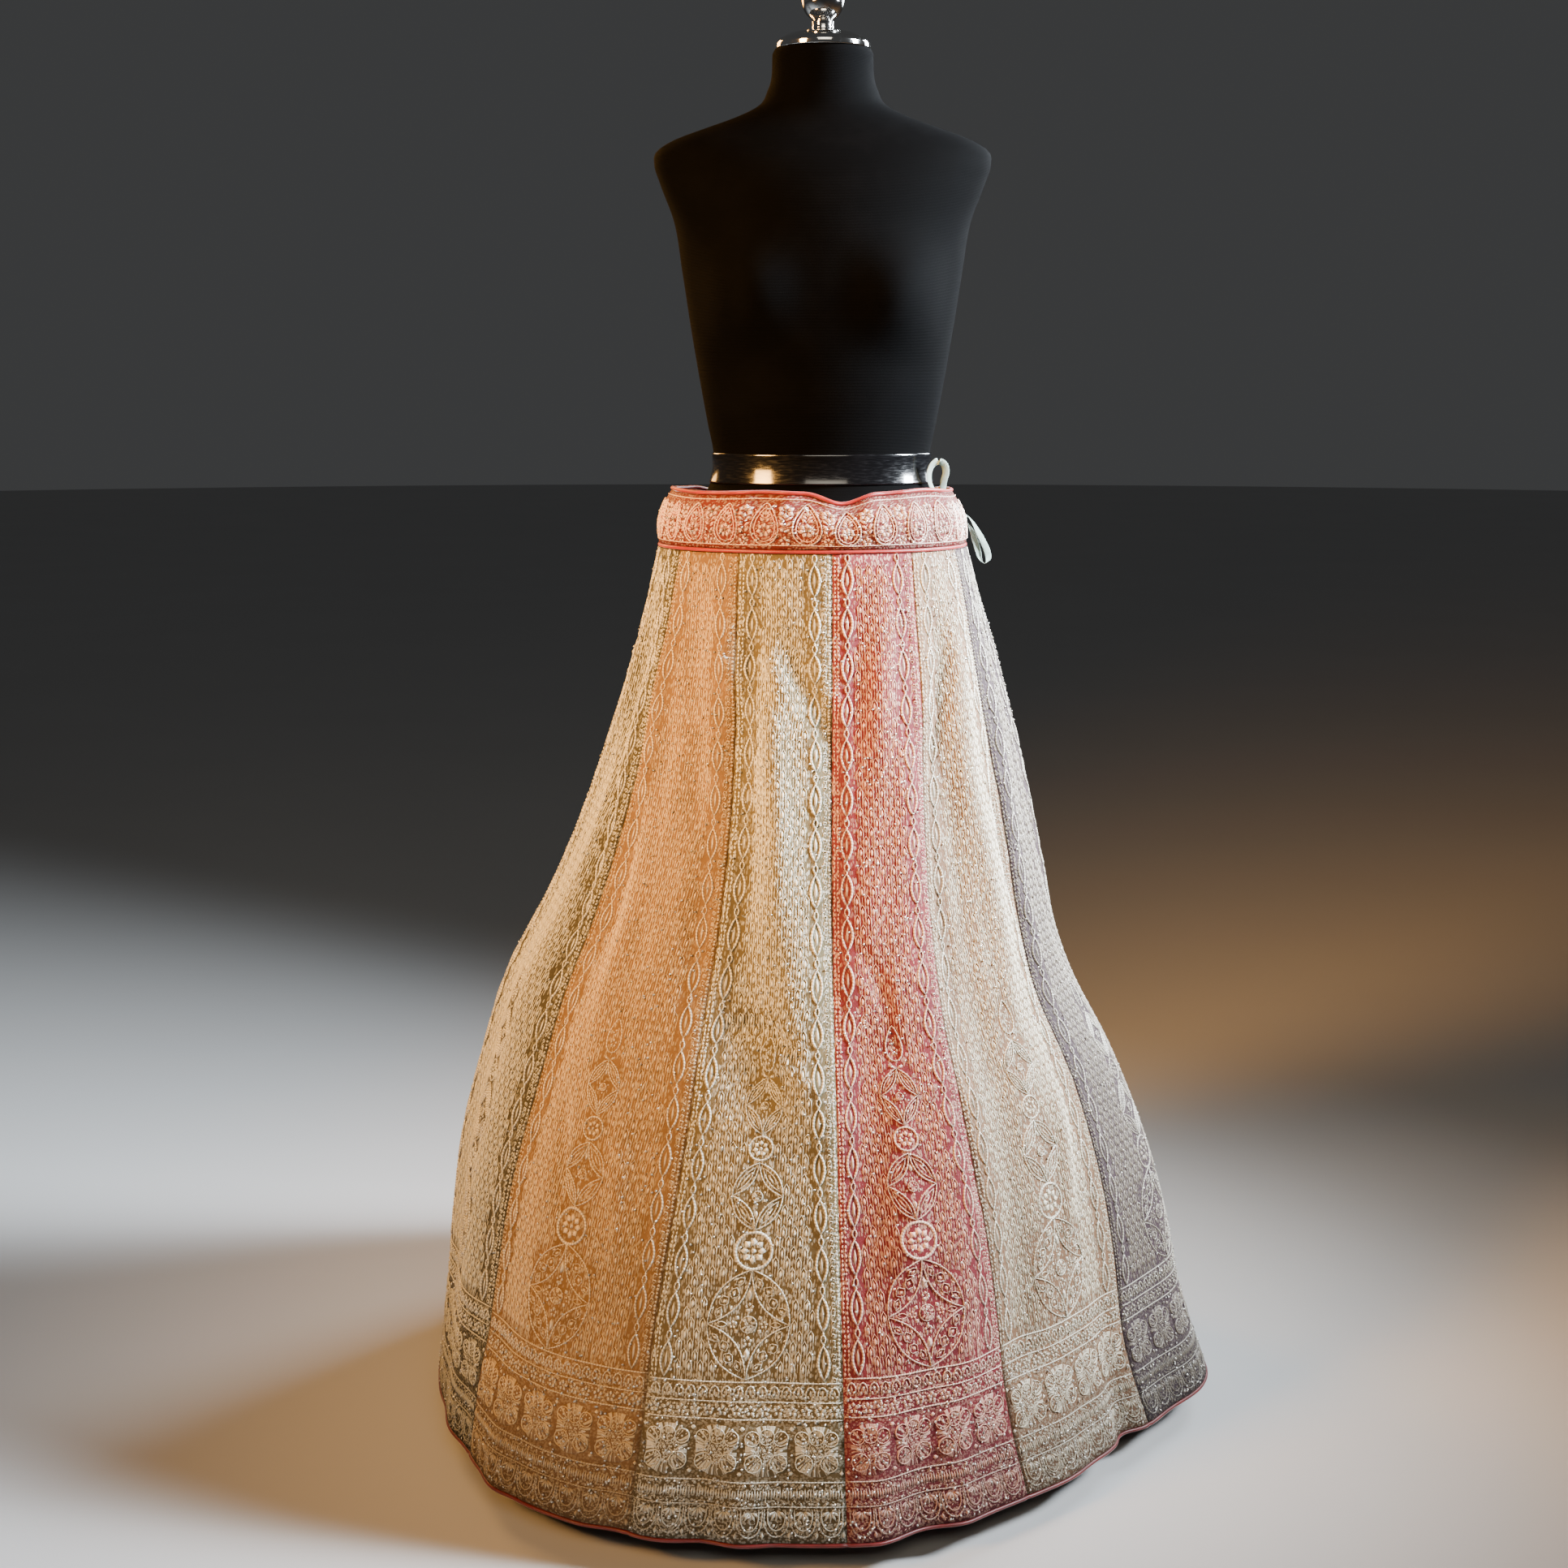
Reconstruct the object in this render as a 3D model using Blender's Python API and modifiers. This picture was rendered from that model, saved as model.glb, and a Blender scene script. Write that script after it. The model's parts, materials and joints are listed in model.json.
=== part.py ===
"""A twelve-panel lehenga skirt standing on a limbless dress form.

Frame: metres, +Z up, the front faces -Y, +X is to the right seen from the front.  The origin is the centre
of the base's underside.  An angle round the skirt starts at the front and grows towards +X.

Cloth is a wall of its real thickness: an open surface worked out from sections and folds, with Solidify.
The same skirt function places the panels, the waistband's lower edge and the piping along the hem.
"""

import math

import bmesh
import bpy
import numpy as np
from mathutils import Vector

# ---------------------------------------------------------------- driving sizes
GAP = 0.0003                     # between pieces that touch
CLOTH = 0.0020                   # wall of an embroidered, lined panel
BAND_WALL = 0.0026               # folded waistband with its stiffening
PIPING_RADIUS = 0.0022
PIPING_GAP = 0.0006              # from the edge that it finishes, because both are faceted
HEM_PIPING_POINTS = 84
BAND_PIPING_POINTS = 54

PANELS = 12
PANEL_COLUMNS = 6                # wide grid cells across one panel, between two narrow ones at its seams
SEAM_CELL = 0.3                  # degrees, the narrow cell, which keeps both walls of a seam parallel
PANEL_ROWS = 15                  # grid cells from waist to hem
FIRST_SEAM = 3.0                 # degrees, the seam at the front
PANEL_ANGLE = 360.0 / PANELS
FOLD_FADE = 0.07                 # share of the skirt's length over which a fold that ends dies out
NEAR_HEM = 0.98                  # a line just above the hem, which gives the cloth's direction there

SKIRT_TOP = 1.0310               # height of the panels' upper edge
SKIRT_HEM = 0.0370               # height of the panels' lower edge
BAND_BOTTOM = 1.0365
BAND_HEIGHT = 0.0575
BAND_ROWS = 4
BAND_COLUMNS = 66
SIDE_OPENING = 93.0              # degrees, where the waistband's two ends meet
OPENING_WIDTH = 0.0100

TAPE_WIDTH = 0.0080              # drawstring: a flat woven tape
TAPE_THICKNESS = 0.0012
TAPE_POINTS = 34
KNOT_SIZE = (0.0090, 0.0088, 0.0130)     # along x, y and z
KNOT_CENTRE = (0.1655, 0.0070, 1.0610)
KNOT_EDGE = 0.0025

TORSO_SIDES = 36
TORSO_STEP = 0.035               # a ring is added midway where the table's rows are further apart
BELT_BOTTOM = 1.1050
BELT_TOP = 1.1390
BELT_WALL = 0.0018
BELT_GAP = 0.00045               # from the torso's skin, a little more because both are faceted
BUST_HEIGHT = 1.3150
BUST_ANGLE = 36.0                # degrees each side of the front
BUST_SPREAD = 32.0               # half width of each mound, degrees
BUST_REACH = 0.0220
BUST_HALF_HEIGHT = 0.085

BASE_RADIUS = 0.1900
BASE_THICKNESS = 0.0100
BASE_EDGE = 0.0030
POLE_RADIUS = 0.0175
ROUND_SIDES = 32
SHARP_ANGLE = 45.0               # degrees, edges that stay crisp in smooth shading

# ---------------------------------------------------------------- tables
# Sections of the skirt, from the upper edge (0) to the hem (1): how far it reaches from the axis.
#            down   right   left    front   back
SECTIONS = (
    (0.00, 0.1680, 0.1890, 0.1365, 0.1365),
    (0.10, 0.1935, 0.2115, 0.1570, 0.1590),
    (0.20, 0.2205, 0.2425, 0.1850, 0.1890),
    (0.30, 0.2420, 0.2785, 0.2170, 0.2240),
    (0.40, 0.2645, 0.3225, 0.2530, 0.2630),
    (0.50, 0.2945, 0.3735, 0.2950, 0.3050),
    (0.60, 0.3455, 0.4055, 0.3390, 0.3490),
    (0.70, 0.3845, 0.4315, 0.3780, 0.3870),
    (0.80, 0.4115, 0.4450, 0.4110, 0.4190),
    (0.90, 0.4320, 0.4555, 0.4430, 0.4460),
    (1.00, 0.4650, 0.4670, 0.4710, 0.4660),
)

# How far the cloth drifts towards the front and the back, in degrees.  It is greatest 35 degrees away from
# them, where the product that hung_angle takes peaks.
DRIFT_PEAK = 2 / 27 ** 0.5
#            down   drift
SEAM_DRIFT = (
    (0.00, -3.0),
    (0.10, 0.0),
    (0.30, 5.2),
    (0.55, 7.0),
    (0.70, 5.8),
    (0.80, 4.4),
    (0.93, 3.0),
    (1.00, 2.0),
)

# Folds: a ridge is raised, a valley has a negative height.  A fold may lean, so it has an angle at the waist
# and one at the hem.  It grows between "starts" and "full" and dies out by "ends"; 2 means past the hem.
#        at waist  at hem   half width   height   starts   full   ends
FOLDS = (
    (-30.0, -38.0, 34.0, 0.032, 0.30, 1.00, 2.00),      # the full left front
    (45.0, 49.0, 40.0, -0.048, 0.42, 1.00, 2.00),       # the flat right front
    (28.0, 25.0, 18.0, -0.014, 0.62, 1.00, 2.00),
    (76.0, 80.0, 14.0, 0.013, 0.30, 0.95, 2.00),        # its flute at the side
    (-25.0, -1.0, 9.0, -0.011, 0.02, 0.16, 0.60),       # the front's deep valley, which ends in a crease
    (-17.0, 8.0, 8.0, 0.008, 0.02, 0.20, 0.64),
    (13.0, 5.0, 7.0, -0.006, 0.03, 0.25, 0.80),
    (27.0, 10.0, 8.0, 0.005, 0.04, 0.30, 0.78),
    (38.0, 33.0, 6.0, -0.006, 0.06, 0.30, 0.90),
    (26.0, 22.0, 7.0, 0.006, 0.30, 0.55, 0.90),
    (58.0, 56.0, 7.0, -0.005, 0.08, 0.40, 2.00),
    (-45.0, -52.0, 9.0, -0.008, 0.05, 0.35, 0.92),
    (-62.0, -64.0, 8.0, 0.006, 0.05, 0.40, 2.00),
    (-80.0, -76.0, 8.0, -0.007, 0.08, 0.45, 0.95),
    (99.0, 104.0, 9.0, -0.009, 0.05, 0.45, 2.00),
    (117.0, 120.0, 12.0, 0.014, 0.10, 0.70, 2.00),
    (140.0, 143.0, 12.0, -0.016, 0.08, 0.60, 2.00),
    (163.0, 160.0, 11.0, 0.013, 0.12, 0.60, 2.00),
    (184.0, 181.0, 12.0, -0.014, 0.06, 0.50, 2.00),
    (203.0, 206.0, 12.0, 0.015, 0.10, 0.60, 2.00),
    (226.0, 229.0, 10.0, -0.013, 0.08, 0.55, 2.00),
    (247.0, 250.0, 11.0, 0.010, 0.10, 0.60, 2.00),
    (268.0, 267.0, 8.0, -0.007, 0.10, 0.50, 2.00),
    (-10.0, -11.0, 5.5, 0.008, 0.80, 1.00, 2.00),       # small ripples along the hem
    (-20.0, -21.0, 6.0, 0.006, 0.80, 1.00, 2.00),
    (13.5, 13.5, 7.5, -0.016, 0.80, 1.00, 2.00),
    (57.0, 57.0, 4.5, -0.007, 0.82, 1.00, 2.00),
    (-47.0, -46.5, 5.0, 0.006, 0.80, 1.00, 2.00),
    (-29.0, -27.5, 4.5, -0.004, 0.84, 1.00, 2.00),
    (130.0, 130.0, 5.0, 0.006, 0.82, 1.00, 2.00),
    (170.0, 171.0, 5.0, -0.006, 0.80, 1.00, 2.00),
    (215.0, 216.0, 5.0, 0.005, 0.82, 1.00, 2.00),
    (260.0, 259.0, 5.0, -0.006, 0.80, 1.00, 2.00),
)

# The waistband leans in towards its drawn-in upper edge.
#          up the band   inset
BAND_SECTIONS = (
    (0.00, 0.0000),
    (0.45, 0.0015),
    (0.72, 0.0070),
    (1.00, 0.0165),
)

# Waves of the waistband's upper edge.
#         angle   half width   rise
BAND_WAVES = (
    (8.0, 15.0, -0.0105),
    (-22.0, 24.0, 0.0020),
    (48.0, 26.0, 0.0030),
    (128.0, 24.0, -0.0035),
    (176.0, 26.0, 0.0025),
    (222.0, 20.0, -0.0060),
    (276.0, 30.0, 0.0020),
)

# The dress form's torso, hips to neck.
#        height   half width   front    back
TORSO = (
    (0.8560, 0.1180, 0.0820, 0.0880),
    (0.8600, 0.1400, 0.1000, 0.1080),
    (0.8740, 0.1590, 0.1160, 0.1260),
    (0.9000, 0.1710, 0.1270, 0.1370),
    (0.9400, 0.1745, 0.1360, 0.1420),
    (0.9750, 0.1750, 0.1390, 0.1420),
    (1.0020, 0.1713, 0.1386, 0.1390),
    (1.0280, 0.1662, 0.1346, 0.1346),
    (1.0560, 0.1560, 0.1230, 0.1200),
    (1.0840, 0.1395, 0.1040, 0.1010),
    (1.1050, 0.1285, 0.0930, 0.0910),
    (1.1220, 0.1240, 0.0900, 0.0880),
    (1.1390, 0.1250, 0.0905, 0.0880),
    (1.1700, 0.1310, 0.0940, 0.0900),
    (1.2200, 0.1400, 0.1020, 0.0950),
    (1.2800, 0.1500, 0.1080, 0.1010),
    (1.3400, 0.1590, 0.1080, 0.1060),
    (1.4000, 0.1690, 0.1040, 0.1070),
    (1.4400, 0.1840, 0.0940, 0.1020),
    (1.4600, 0.1900, 0.0850, 0.0950),
    (1.4730, 0.1880, 0.0770, 0.0880),
    (1.4860, 0.1680, 0.0690, 0.0800),
    (1.4980, 0.1350, 0.0620, 0.0720),
    (1.5100, 0.1000, 0.0570, 0.0650),
    (1.5220, 0.0740, 0.0540, 0.0600),
    (1.5400, 0.0620, 0.0520, 0.0560),
    (1.5840, 0.0560, 0.0525, 0.0525),
)

# Turned profiles, radius and height, from the bottom up.
CAP_PROFILE = ((0.0000, 1.5843), (0.0530, 1.5843), (0.0530, 1.5900), (0.0505, 1.5945), (0.0400, 1.6000),
               (0.0240, 1.6040), (0.0140, 1.6060), (0.0000, 1.6060))
FINIAL_FOOT = ((0.0000, 1.6063), (0.0130, 1.6063), (0.0120, 1.6100), (0.0125, 1.6140))
FINIAL_KNOB_RADIUS = 0.0245
FINIAL_KNOB_CENTRE = 1.6375
FINIAL_KNOB_STEPS = 9
FINIAL_KNOB_START = -65.0        # degrees below the knob's middle, where it meets its foot

# The drawstring is tied in a bow at the side opening: one loop stands up between form and band, one hangs
# outside.  "faces" is the direction of the tape's width in the horizontal plane, in degrees from +X.
#       x        y        z      faces
DRAWSTRING_UPPER = (
    (0.1592, 0.0068, 1.0650, 90.0),
    (0.1570, 0.0055, 1.0660, 85.0),
    (0.1550, -0.0010, 1.0710, 70.0),
    (0.1465, -0.0180, 1.0795, 62.0),
    (0.1345, -0.0330, 1.0880, 70.0),
    (0.1265, -0.0430, 1.0980, 80.0),
    (0.1220, -0.0480, 1.1080, 85.0),
    (0.1215, -0.0500, 1.1180, 80.0),
    (0.1250, -0.0500, 1.1265, 60.0),
    (0.1320, -0.0480, 1.1305, 50.0),
    (0.1385, -0.0450, 1.1265, 50.0),
    (0.1410, -0.0410, 1.1180, 55.0),
    (0.1390, -0.0370, 1.1080, 75.0),
    (0.1387, -0.0310, 1.0980, 80.0),
    (0.1415, -0.0220, 1.0880, 70.0),
    (0.1555, -0.0030, 1.0690, 70.0),
    (0.1570, 0.0050, 1.0585, 85.0),
    (0.1592, 0.0068, 1.0570, 90.0),
)
DRAWSTRING_LOWER = (
    (0.1706, 0.0070, 1.0650, 90.0),
    (0.1750, 0.0068, 1.0600, 90.0),
    (0.1815, 0.0050, 1.0490, 90.0),
    (0.1880, 0.0030, 1.0365, 80.0),
    (0.1930, 0.0010, 1.0250, 75.0),
    (0.1943, 0.0000, 1.0160, 75.0),
    (0.1905, 0.0000, 1.0110, 75.0),
    (0.1860, 0.0005, 1.0150, 75.0),
    (0.1830, 0.0020, 1.0240, 80.0),
    (0.1795, 0.0040, 1.0360, 90.0),
    (0.1755, 0.0060, 1.0480, 90.0),
    (0.1706, 0.0070, 1.0570, 90.0),
)

# Finish of each panel in order, beginning right of the front seam; the six repeat twice.
#              name      colour
PANEL_COLOURS = (
    ("coral", (0.66, 0.20, 0.22)),
    ("peach", (0.72, 0.52, 0.38)),
    ("mauve", (0.50, 0.38, 0.44)),
    ("sage", (0.36, 0.34, 0.24)),
    ("tan", (0.52, 0.31, 0.16)),
    ("olive", (0.46, 0.39, 0.22)),
)


# ---------------------------------------------------------------- working out
def smooth_table(rows, x, column):
    """The table's column at x: a cubic through the rows whose slopes are those of the neighbouring rows."""
    table = np.asarray(rows, dtype=float)
    xs, ys = table[:, 0], table[:, column]
    slope = np.gradient(ys, xs)
    x = np.clip(x, xs[0], xs[-1])
    i = np.clip(np.searchsorted(xs, x, side="right") - 1, 0, len(xs) - 2)
    width = xs[i + 1] - xs[i]
    u = (x - xs[i]) / width
    return ((1 + 2 * u) * (1 - u) ** 2 * ys[i] + u * (1 - u) ** 2 * width * slope[i]
            + u * u * (3 - 2 * u) * ys[i + 1] + u * u * (u - 1) * width * slope[i + 1])


def bump(offset, half_width):
    """A round bump, 1 at its middle and 0 past its half width."""
    inside = np.clip(np.abs(offset) / half_width, 0.0, 1.0)
    return np.cos(inside * math.pi / 2) ** 2


def ramp(x, start, end):
    """A soft step from 0 to 1."""
    u = np.clip((x - start) / (end - start), 0.0, 1.0)
    return u * u * (3 - 2 * u)


def turn(angle):
    """An angle in degrees brought into -180 to 180."""
    return (angle + 180.0) % 360.0 - 180.0


def oval(angle, right, left, front, back):
    """Points of a ring with its own reach on each of four sides."""
    a = np.radians(angle)
    x = np.where(np.sin(a) >= 0, right, left) * np.sin(a)
    y = -np.where(np.cos(a) >= 0, front, back) * np.cos(a)
    return x, y


def hung_angle(angle, down):
    """Where a line of the cut hangs: between the seams the cloth slides towards the front and the back."""
    a = np.radians(angle)
    share = np.sin(a) * np.cos(a) * np.abs(np.cos(a)) / DRIFT_PEAK
    return angle - smooth_table(SEAM_DRIFT, down, 1) * share


def fold_height(angle, down):
    """How far the folds stand out from the plain cone."""
    height = np.zeros_like(down)
    for waist, hem, half_width, rise, starts, full, ends in FOLDS:
        centre = waist + (hem - waist) * down
        grown = ramp(down, starts, full) * (1.0 - ramp(down, ends - FOLD_FADE, ends))
        height += rise * grown * bump(turn(angle - centre), half_width)
    return height


def skirt(angle, down):
    """The skirt's outer face: down is 0 at the panels' upper edge and 1 at the hem."""
    angle, down = np.broadcast_arrays(np.asarray(angle, float), np.asarray(down, float))
    angle = hung_angle(angle, down)
    right, left, front, back = (smooth_table(SECTIONS, down, column) for column in (1, 2, 3, 4))
    x, y = oval(angle, right, left, front, back)
    height = fold_height(angle, down)
    x = x + height * np.sin(np.radians(angle))
    y = y - height * np.cos(np.radians(angle))
    z = SKIRT_TOP + (SKIRT_HEM - SKIRT_TOP) * down
    return np.stack([x, y, z], axis=-1)


def waistband(angle, up):
    """The waistband's outer face: up is 0 at its lower edge and 1 at its waved upper edge."""
    angle, up = np.broadcast_arrays(np.asarray(angle, float), np.asarray(up, float))
    inset = smooth_table(BAND_SECTIONS, up, 1)
    _, right, left, front, back = SECTIONS[0]
    x, y = oval(angle, right - inset, left - inset, front - inset, back - inset)
    wave = sum(rise * bump(turn(angle - at), half_width) for at, half_width, rise in BAND_WAVES)
    z = BAND_BOTTOM + BAND_HEIGHT * up + wave * up
    return np.stack([x, y, z], axis=-1)


def torso(angle, height, out=0.0):
    """The dress form's surface, or a ring that far outside it."""
    angle, height = np.broadcast_arrays(np.asarray(angle, float), np.asarray(height, float))
    side, front, back = (smooth_table(TORSO, height, column) + out for column in (1, 2, 3))
    x, y = oval(angle, side, side, front, back)
    sides = sum(bump(turn(angle - middle), BUST_SPREAD) for middle in (-BUST_ANGLE, BUST_ANGLE))
    mound = sides * bump(height - BUST_HEIGHT, BUST_HALF_HEIGHT)
    return np.stack([x, y - BUST_REACH * mound, height], axis=-1)


def smooth_route(route, count):
    """Evenly spaced points along a smooth curve through a route's own, with the tape's facing at each."""
    route = np.asarray(route, dtype=float)
    steps = np.concatenate([[0.0], np.cumsum(np.linalg.norm(np.diff(route[:, :3], axis=0), axis=1))])
    rows = np.column_stack([steps, route])
    fine = np.linspace(0.0, steps[-1], 20 * count)
    curve = np.column_stack([smooth_table(rows, fine, column) for column in (1, 2, 3, 4)])
    along = np.concatenate([[0.0], np.cumsum(np.linalg.norm(np.diff(curve[:, :3], axis=0), axis=1))])
    at = np.linspace(0.0, along[-1], count)
    spaced = np.column_stack([np.interp(at, along, curve[:, k]) for k in range(4)])
    return spaced[:, :3], spaced[:, 3]


def panel_angles(number):
    """Grid angles across one panel, seam to seam."""
    wide = np.linspace(SEAM_CELL, PANEL_ANGLE - SEAM_CELL, PANEL_COLUMNS + 1)
    return FIRST_SEAM + PANEL_ANGLE * number + np.concatenate([[0.0], wide, [PANEL_ANGLE]])


def torso_heights():
    """Heights of the torso's rings: the table's rows, and one midway in each wide gap."""
    rows = np.asarray(TORSO)[:, 0]
    middle = (rows[:-1] + rows[1:]) / 2
    return np.sort(np.concatenate([rows, middle[np.diff(rows) > TORSO_STEP]]))


def band_angles(count):
    """Evenly spaced angles round the waistband, from one end of the side opening to the other."""
    trim = math.degrees(0.5 * OPENING_WIDTH / SECTIONS[0][3])
    return np.linspace(SIDE_OPENING + trim, SIDE_OPENING + 360.0 - trim, count + 1)


# ---------------------------------------------------------------- making
def material(name, colour, roughness, metallic=0.0):
    made = bpy.data.materials.new(name)
    made.use_nodes = True
    shader = made.node_tree.nodes["Principled BSDF"]
    shader.inputs["Base Color"].default_value = (*colour, 1.0)
    shader.inputs["Roughness"].default_value = roughness
    shader.inputs["Metallic"].default_value = metallic
    return made


def place(obj, finish, parts):
    obj.data.materials.append(finish)
    parts.objects.link(obj)
    return obj


def sheet(name, grid, wall, finish, parts):
    """An open surface through a grid of points (rows by columns), thickened inwards."""
    rows, columns = grid.shape[:2]
    index = np.arange(rows * columns).reshape(rows, columns)
    faces = np.stack([index[:-1, :-1], index[1:, :-1], index[1:, 1:], index[:-1, 1:]], axis=-1)
    mesh = bpy.data.meshes.new(name)
    mesh.from_pydata(grid.reshape(-1, 3).tolist(), [], faces.reshape(-1, 4).tolist())
    mesh.shade_smooth()
    obj = place(bpy.data.objects.new(name, mesh), finish, parts)
    shell = obj.modifiers.new("Wall", "SOLIDIFY")
    shell.thickness = wall
    shell.offset = -1.0
    return obj


def hoop(name, rings, wall, finish, parts):
    """A closed band through rings of points, thickened outwards."""
    count = rings.shape[1]
    index = np.arange(rings.shape[0] * count).reshape(rings.shape[0], count)
    ahead = np.roll(index, -1, axis=1)
    faces = np.stack([index[:-1], ahead[:-1], ahead[1:], index[1:]], axis=-1)
    mesh = bpy.data.meshes.new(name)
    mesh.from_pydata(rings.reshape(-1, 3).tolist(), [], faces.reshape(-1, 4).tolist())
    mesh.shade_smooth()
    obj = place(bpy.data.objects.new(name, mesh), finish, parts)
    shell = obj.modifiers.new("Wall", "SOLIDIFY")
    shell.thickness = wall
    shell.offset = 1.0
    return obj


def tube(name, points, radius, finish, parts, closed=False):
    """A round cord along a row of points."""
    curve = bpy.data.curves.new(name, "CURVE")
    curve.dimensions = "3D"
    curve.bevel_depth = radius
    curve.bevel_resolution = 2
    curve.use_fill_caps = not closed
    line = curve.splines.new("POLY")
    line.points.add(len(points) - 1)
    line.points.foreach_set("co", np.column_stack([points, np.ones(len(points))]).ravel())
    line.use_cyclic_u = closed
    line.use_smooth = True
    return place(bpy.data.objects.new(name, curve), finish, parts)


def tape(name, route, finish, parts):
    """A flat woven tape along a route: each cross line lies in its facing, square to the route."""
    points, facing = smooth_route(route, TAPE_POINTS)
    along = np.gradient(points, axis=0)
    along /= np.linalg.norm(along, axis=1, keepdims=True)
    a = np.radians(facing)
    across = np.column_stack([np.cos(a), np.sin(a), np.zeros_like(a)])
    across -= along * np.sum(across * along, axis=1, keepdims=True)
    across *= TAPE_WIDTH / 2 / np.linalg.norm(across, axis=1, keepdims=True)
    obj = sheet(name, np.stack([points - across, points + across], axis=1), TAPE_THICKNESS, finish, parts)
    obj.modifiers["Wall"].offset = 0.0
    return obj


def turned(name, profile, finish, parts):
    """A profile of radius and height, from the bottom up, turned about the Z axis."""
    mesh = bpy.data.meshes.new(name)
    points = [(radius, 0.0, height) for radius, height in reversed(profile)]
    mesh.from_pydata(points, [(i, i + 1) for i in range(len(points) - 1)], [])
    obj = place(bpy.data.objects.new(name, mesh), finish, parts)
    screw = obj.modifiers.new("Turn", "SCREW")
    screw.steps = ROUND_SIDES
    screw.render_steps = ROUND_SIDES
    screw.use_merge_vertices = True
    screw.merge_threshold = 0.0001
    screw.use_smooth_shade = True
    return obj


def disc(name, radius, bottom, top, edge, finish, parts):
    """An upright cylinder whose rims are rounded."""
    mesh = bpy.data.meshes.new(name)
    shape = bmesh.new()
    bmesh.ops.create_cone(shape, cap_ends=True, segments=ROUND_SIDES, radius1=radius, radius2=radius,
                          depth=top - bottom)
    bmesh.ops.translate(shape, vec=Vector((0.0, 0.0, (top + bottom) / 2)), verts=shape.verts)
    shape.to_mesh(mesh)
    shape.free()
    mesh.shade_smooth()
    mesh.set_sharp_from_angle(angle=math.radians(SHARP_ANGLE))
    obj = place(bpy.data.objects.new(name, mesh), finish, parts)
    if edge:
        bevel = obj.modifiers.new("Edge", "BEVEL")
        bevel.width = edge
        bevel.segments = 2
        bevel.limit_method = "ANGLE"
    return obj


# ---------------------------------------------------------------- the skirt
def build_panels(parts):
    """Twelve flared panels; half the seam gap is taken off each side edge, along the cloth."""
    down = np.linspace(0.0, 1.0, PANEL_ROWS + 1)[:, None]
    for number in range(PANELS):
        colour_name, colour = PANEL_COLOURS[number % len(PANEL_COLOURS)]
        grid = skirt(panel_angles(number)[None, :], down)
        for edge, inner in ((0, 1), (-1, -2)):
            inward = grid[:, inner] - grid[:, edge]
            inward /= np.linalg.norm(inward, axis=1, keepdims=True)
            grid[:, edge] += inward * GAP / 2
        name = f"panel_{number + 1:02d}_{colour_name}"
        finish = material(f"embroidered {colour_name} {number + 1}", colour, 0.75)
        sheet(name, grid, CLOTH, finish, parts)


def build_hem_piping(red, parts):
    """A corded edge just under the panels, in line with the middle of their wall."""
    angles = FIRST_SEAM + np.linspace(0.0, 360.0, HEM_PIPING_POINTS, endpoint=False)
    edge, above = skirt(angles, 1.0), skirt(angles, NEAR_HEM)
    along = edge - above
    along /= np.linalg.norm(along, axis=1, keepdims=True)
    across = np.roll(edge, -1, axis=0) - np.roll(edge, 1, axis=0)
    inwards = np.cross(across, along)
    inwards /= np.linalg.norm(inwards, axis=1, keepdims=True)
    towards_axis = np.sum(inwards[:, :2] * edge[:, :2], axis=1, keepdims=True) < 0
    inwards = np.where(towards_axis, inwards, -inwards)
    centre = edge + along * (PIPING_RADIUS + PIPING_GAP) + inwards * CLOTH / 2
    tube("hem_piping", centre, PIPING_RADIUS, red, parts, closed=True)


def build_waistband(red, parts):
    angles = band_angles(BAND_COLUMNS)
    up = np.linspace(1.0, 0.0, BAND_ROWS + 1)[:, None]
    sheet("waistband", waistband(angles[None, :], up), BAND_WALL, red, parts)


def build_waistband_piping(red, parts):
    """One cord on the waistband's upper edge and one in the seam between it and the panels."""
    angles = band_angles(BAND_PIPING_POINTS)
    a = np.radians(angles)
    inwards = np.column_stack([-np.sin(a), np.cos(a), np.zeros_like(a)])
    upper = waistband(angles, 1.0) + inwards * BAND_WALL / 2
    upper[:, 2] += PIPING_RADIUS + PIPING_GAP + GAP
    tube("waistband_piping_top", upper, PIPING_RADIUS, red, parts)
    lower = waistband(angles, 0.0) + inwards * CLOTH / 2
    lower[:, 2] = (SKIRT_TOP + BAND_BOTTOM) / 2
    tube("waistband_piping_bottom", lower, PIPING_RADIUS, red, parts)


def build_drawstring(mint, parts):
    """A bow: its knot fills the side opening, and both loops start and end against the knot."""
    mesh = bpy.data.meshes.new("drawstring_knot")
    shape = bmesh.new()
    bmesh.ops.create_cube(shape, size=1.0)
    bmesh.ops.scale(shape, vec=Vector(KNOT_SIZE), verts=shape.verts)
    shape.to_mesh(mesh)
    shape.free()
    mesh.shade_smooth()
    knot = place(bpy.data.objects.new("drawstring_knot", mesh), mint, parts)
    knot.location = KNOT_CENTRE
    bevel = knot.modifiers.new("Edge", "BEVEL")
    bevel.width = KNOT_EDGE
    bevel.segments = 3
    tape("drawstring_upper_loop", DRAWSTRING_UPPER, mint, parts)
    tape("drawstring_lower_loop", DRAWSTRING_LOWER, mint, parts)


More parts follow.
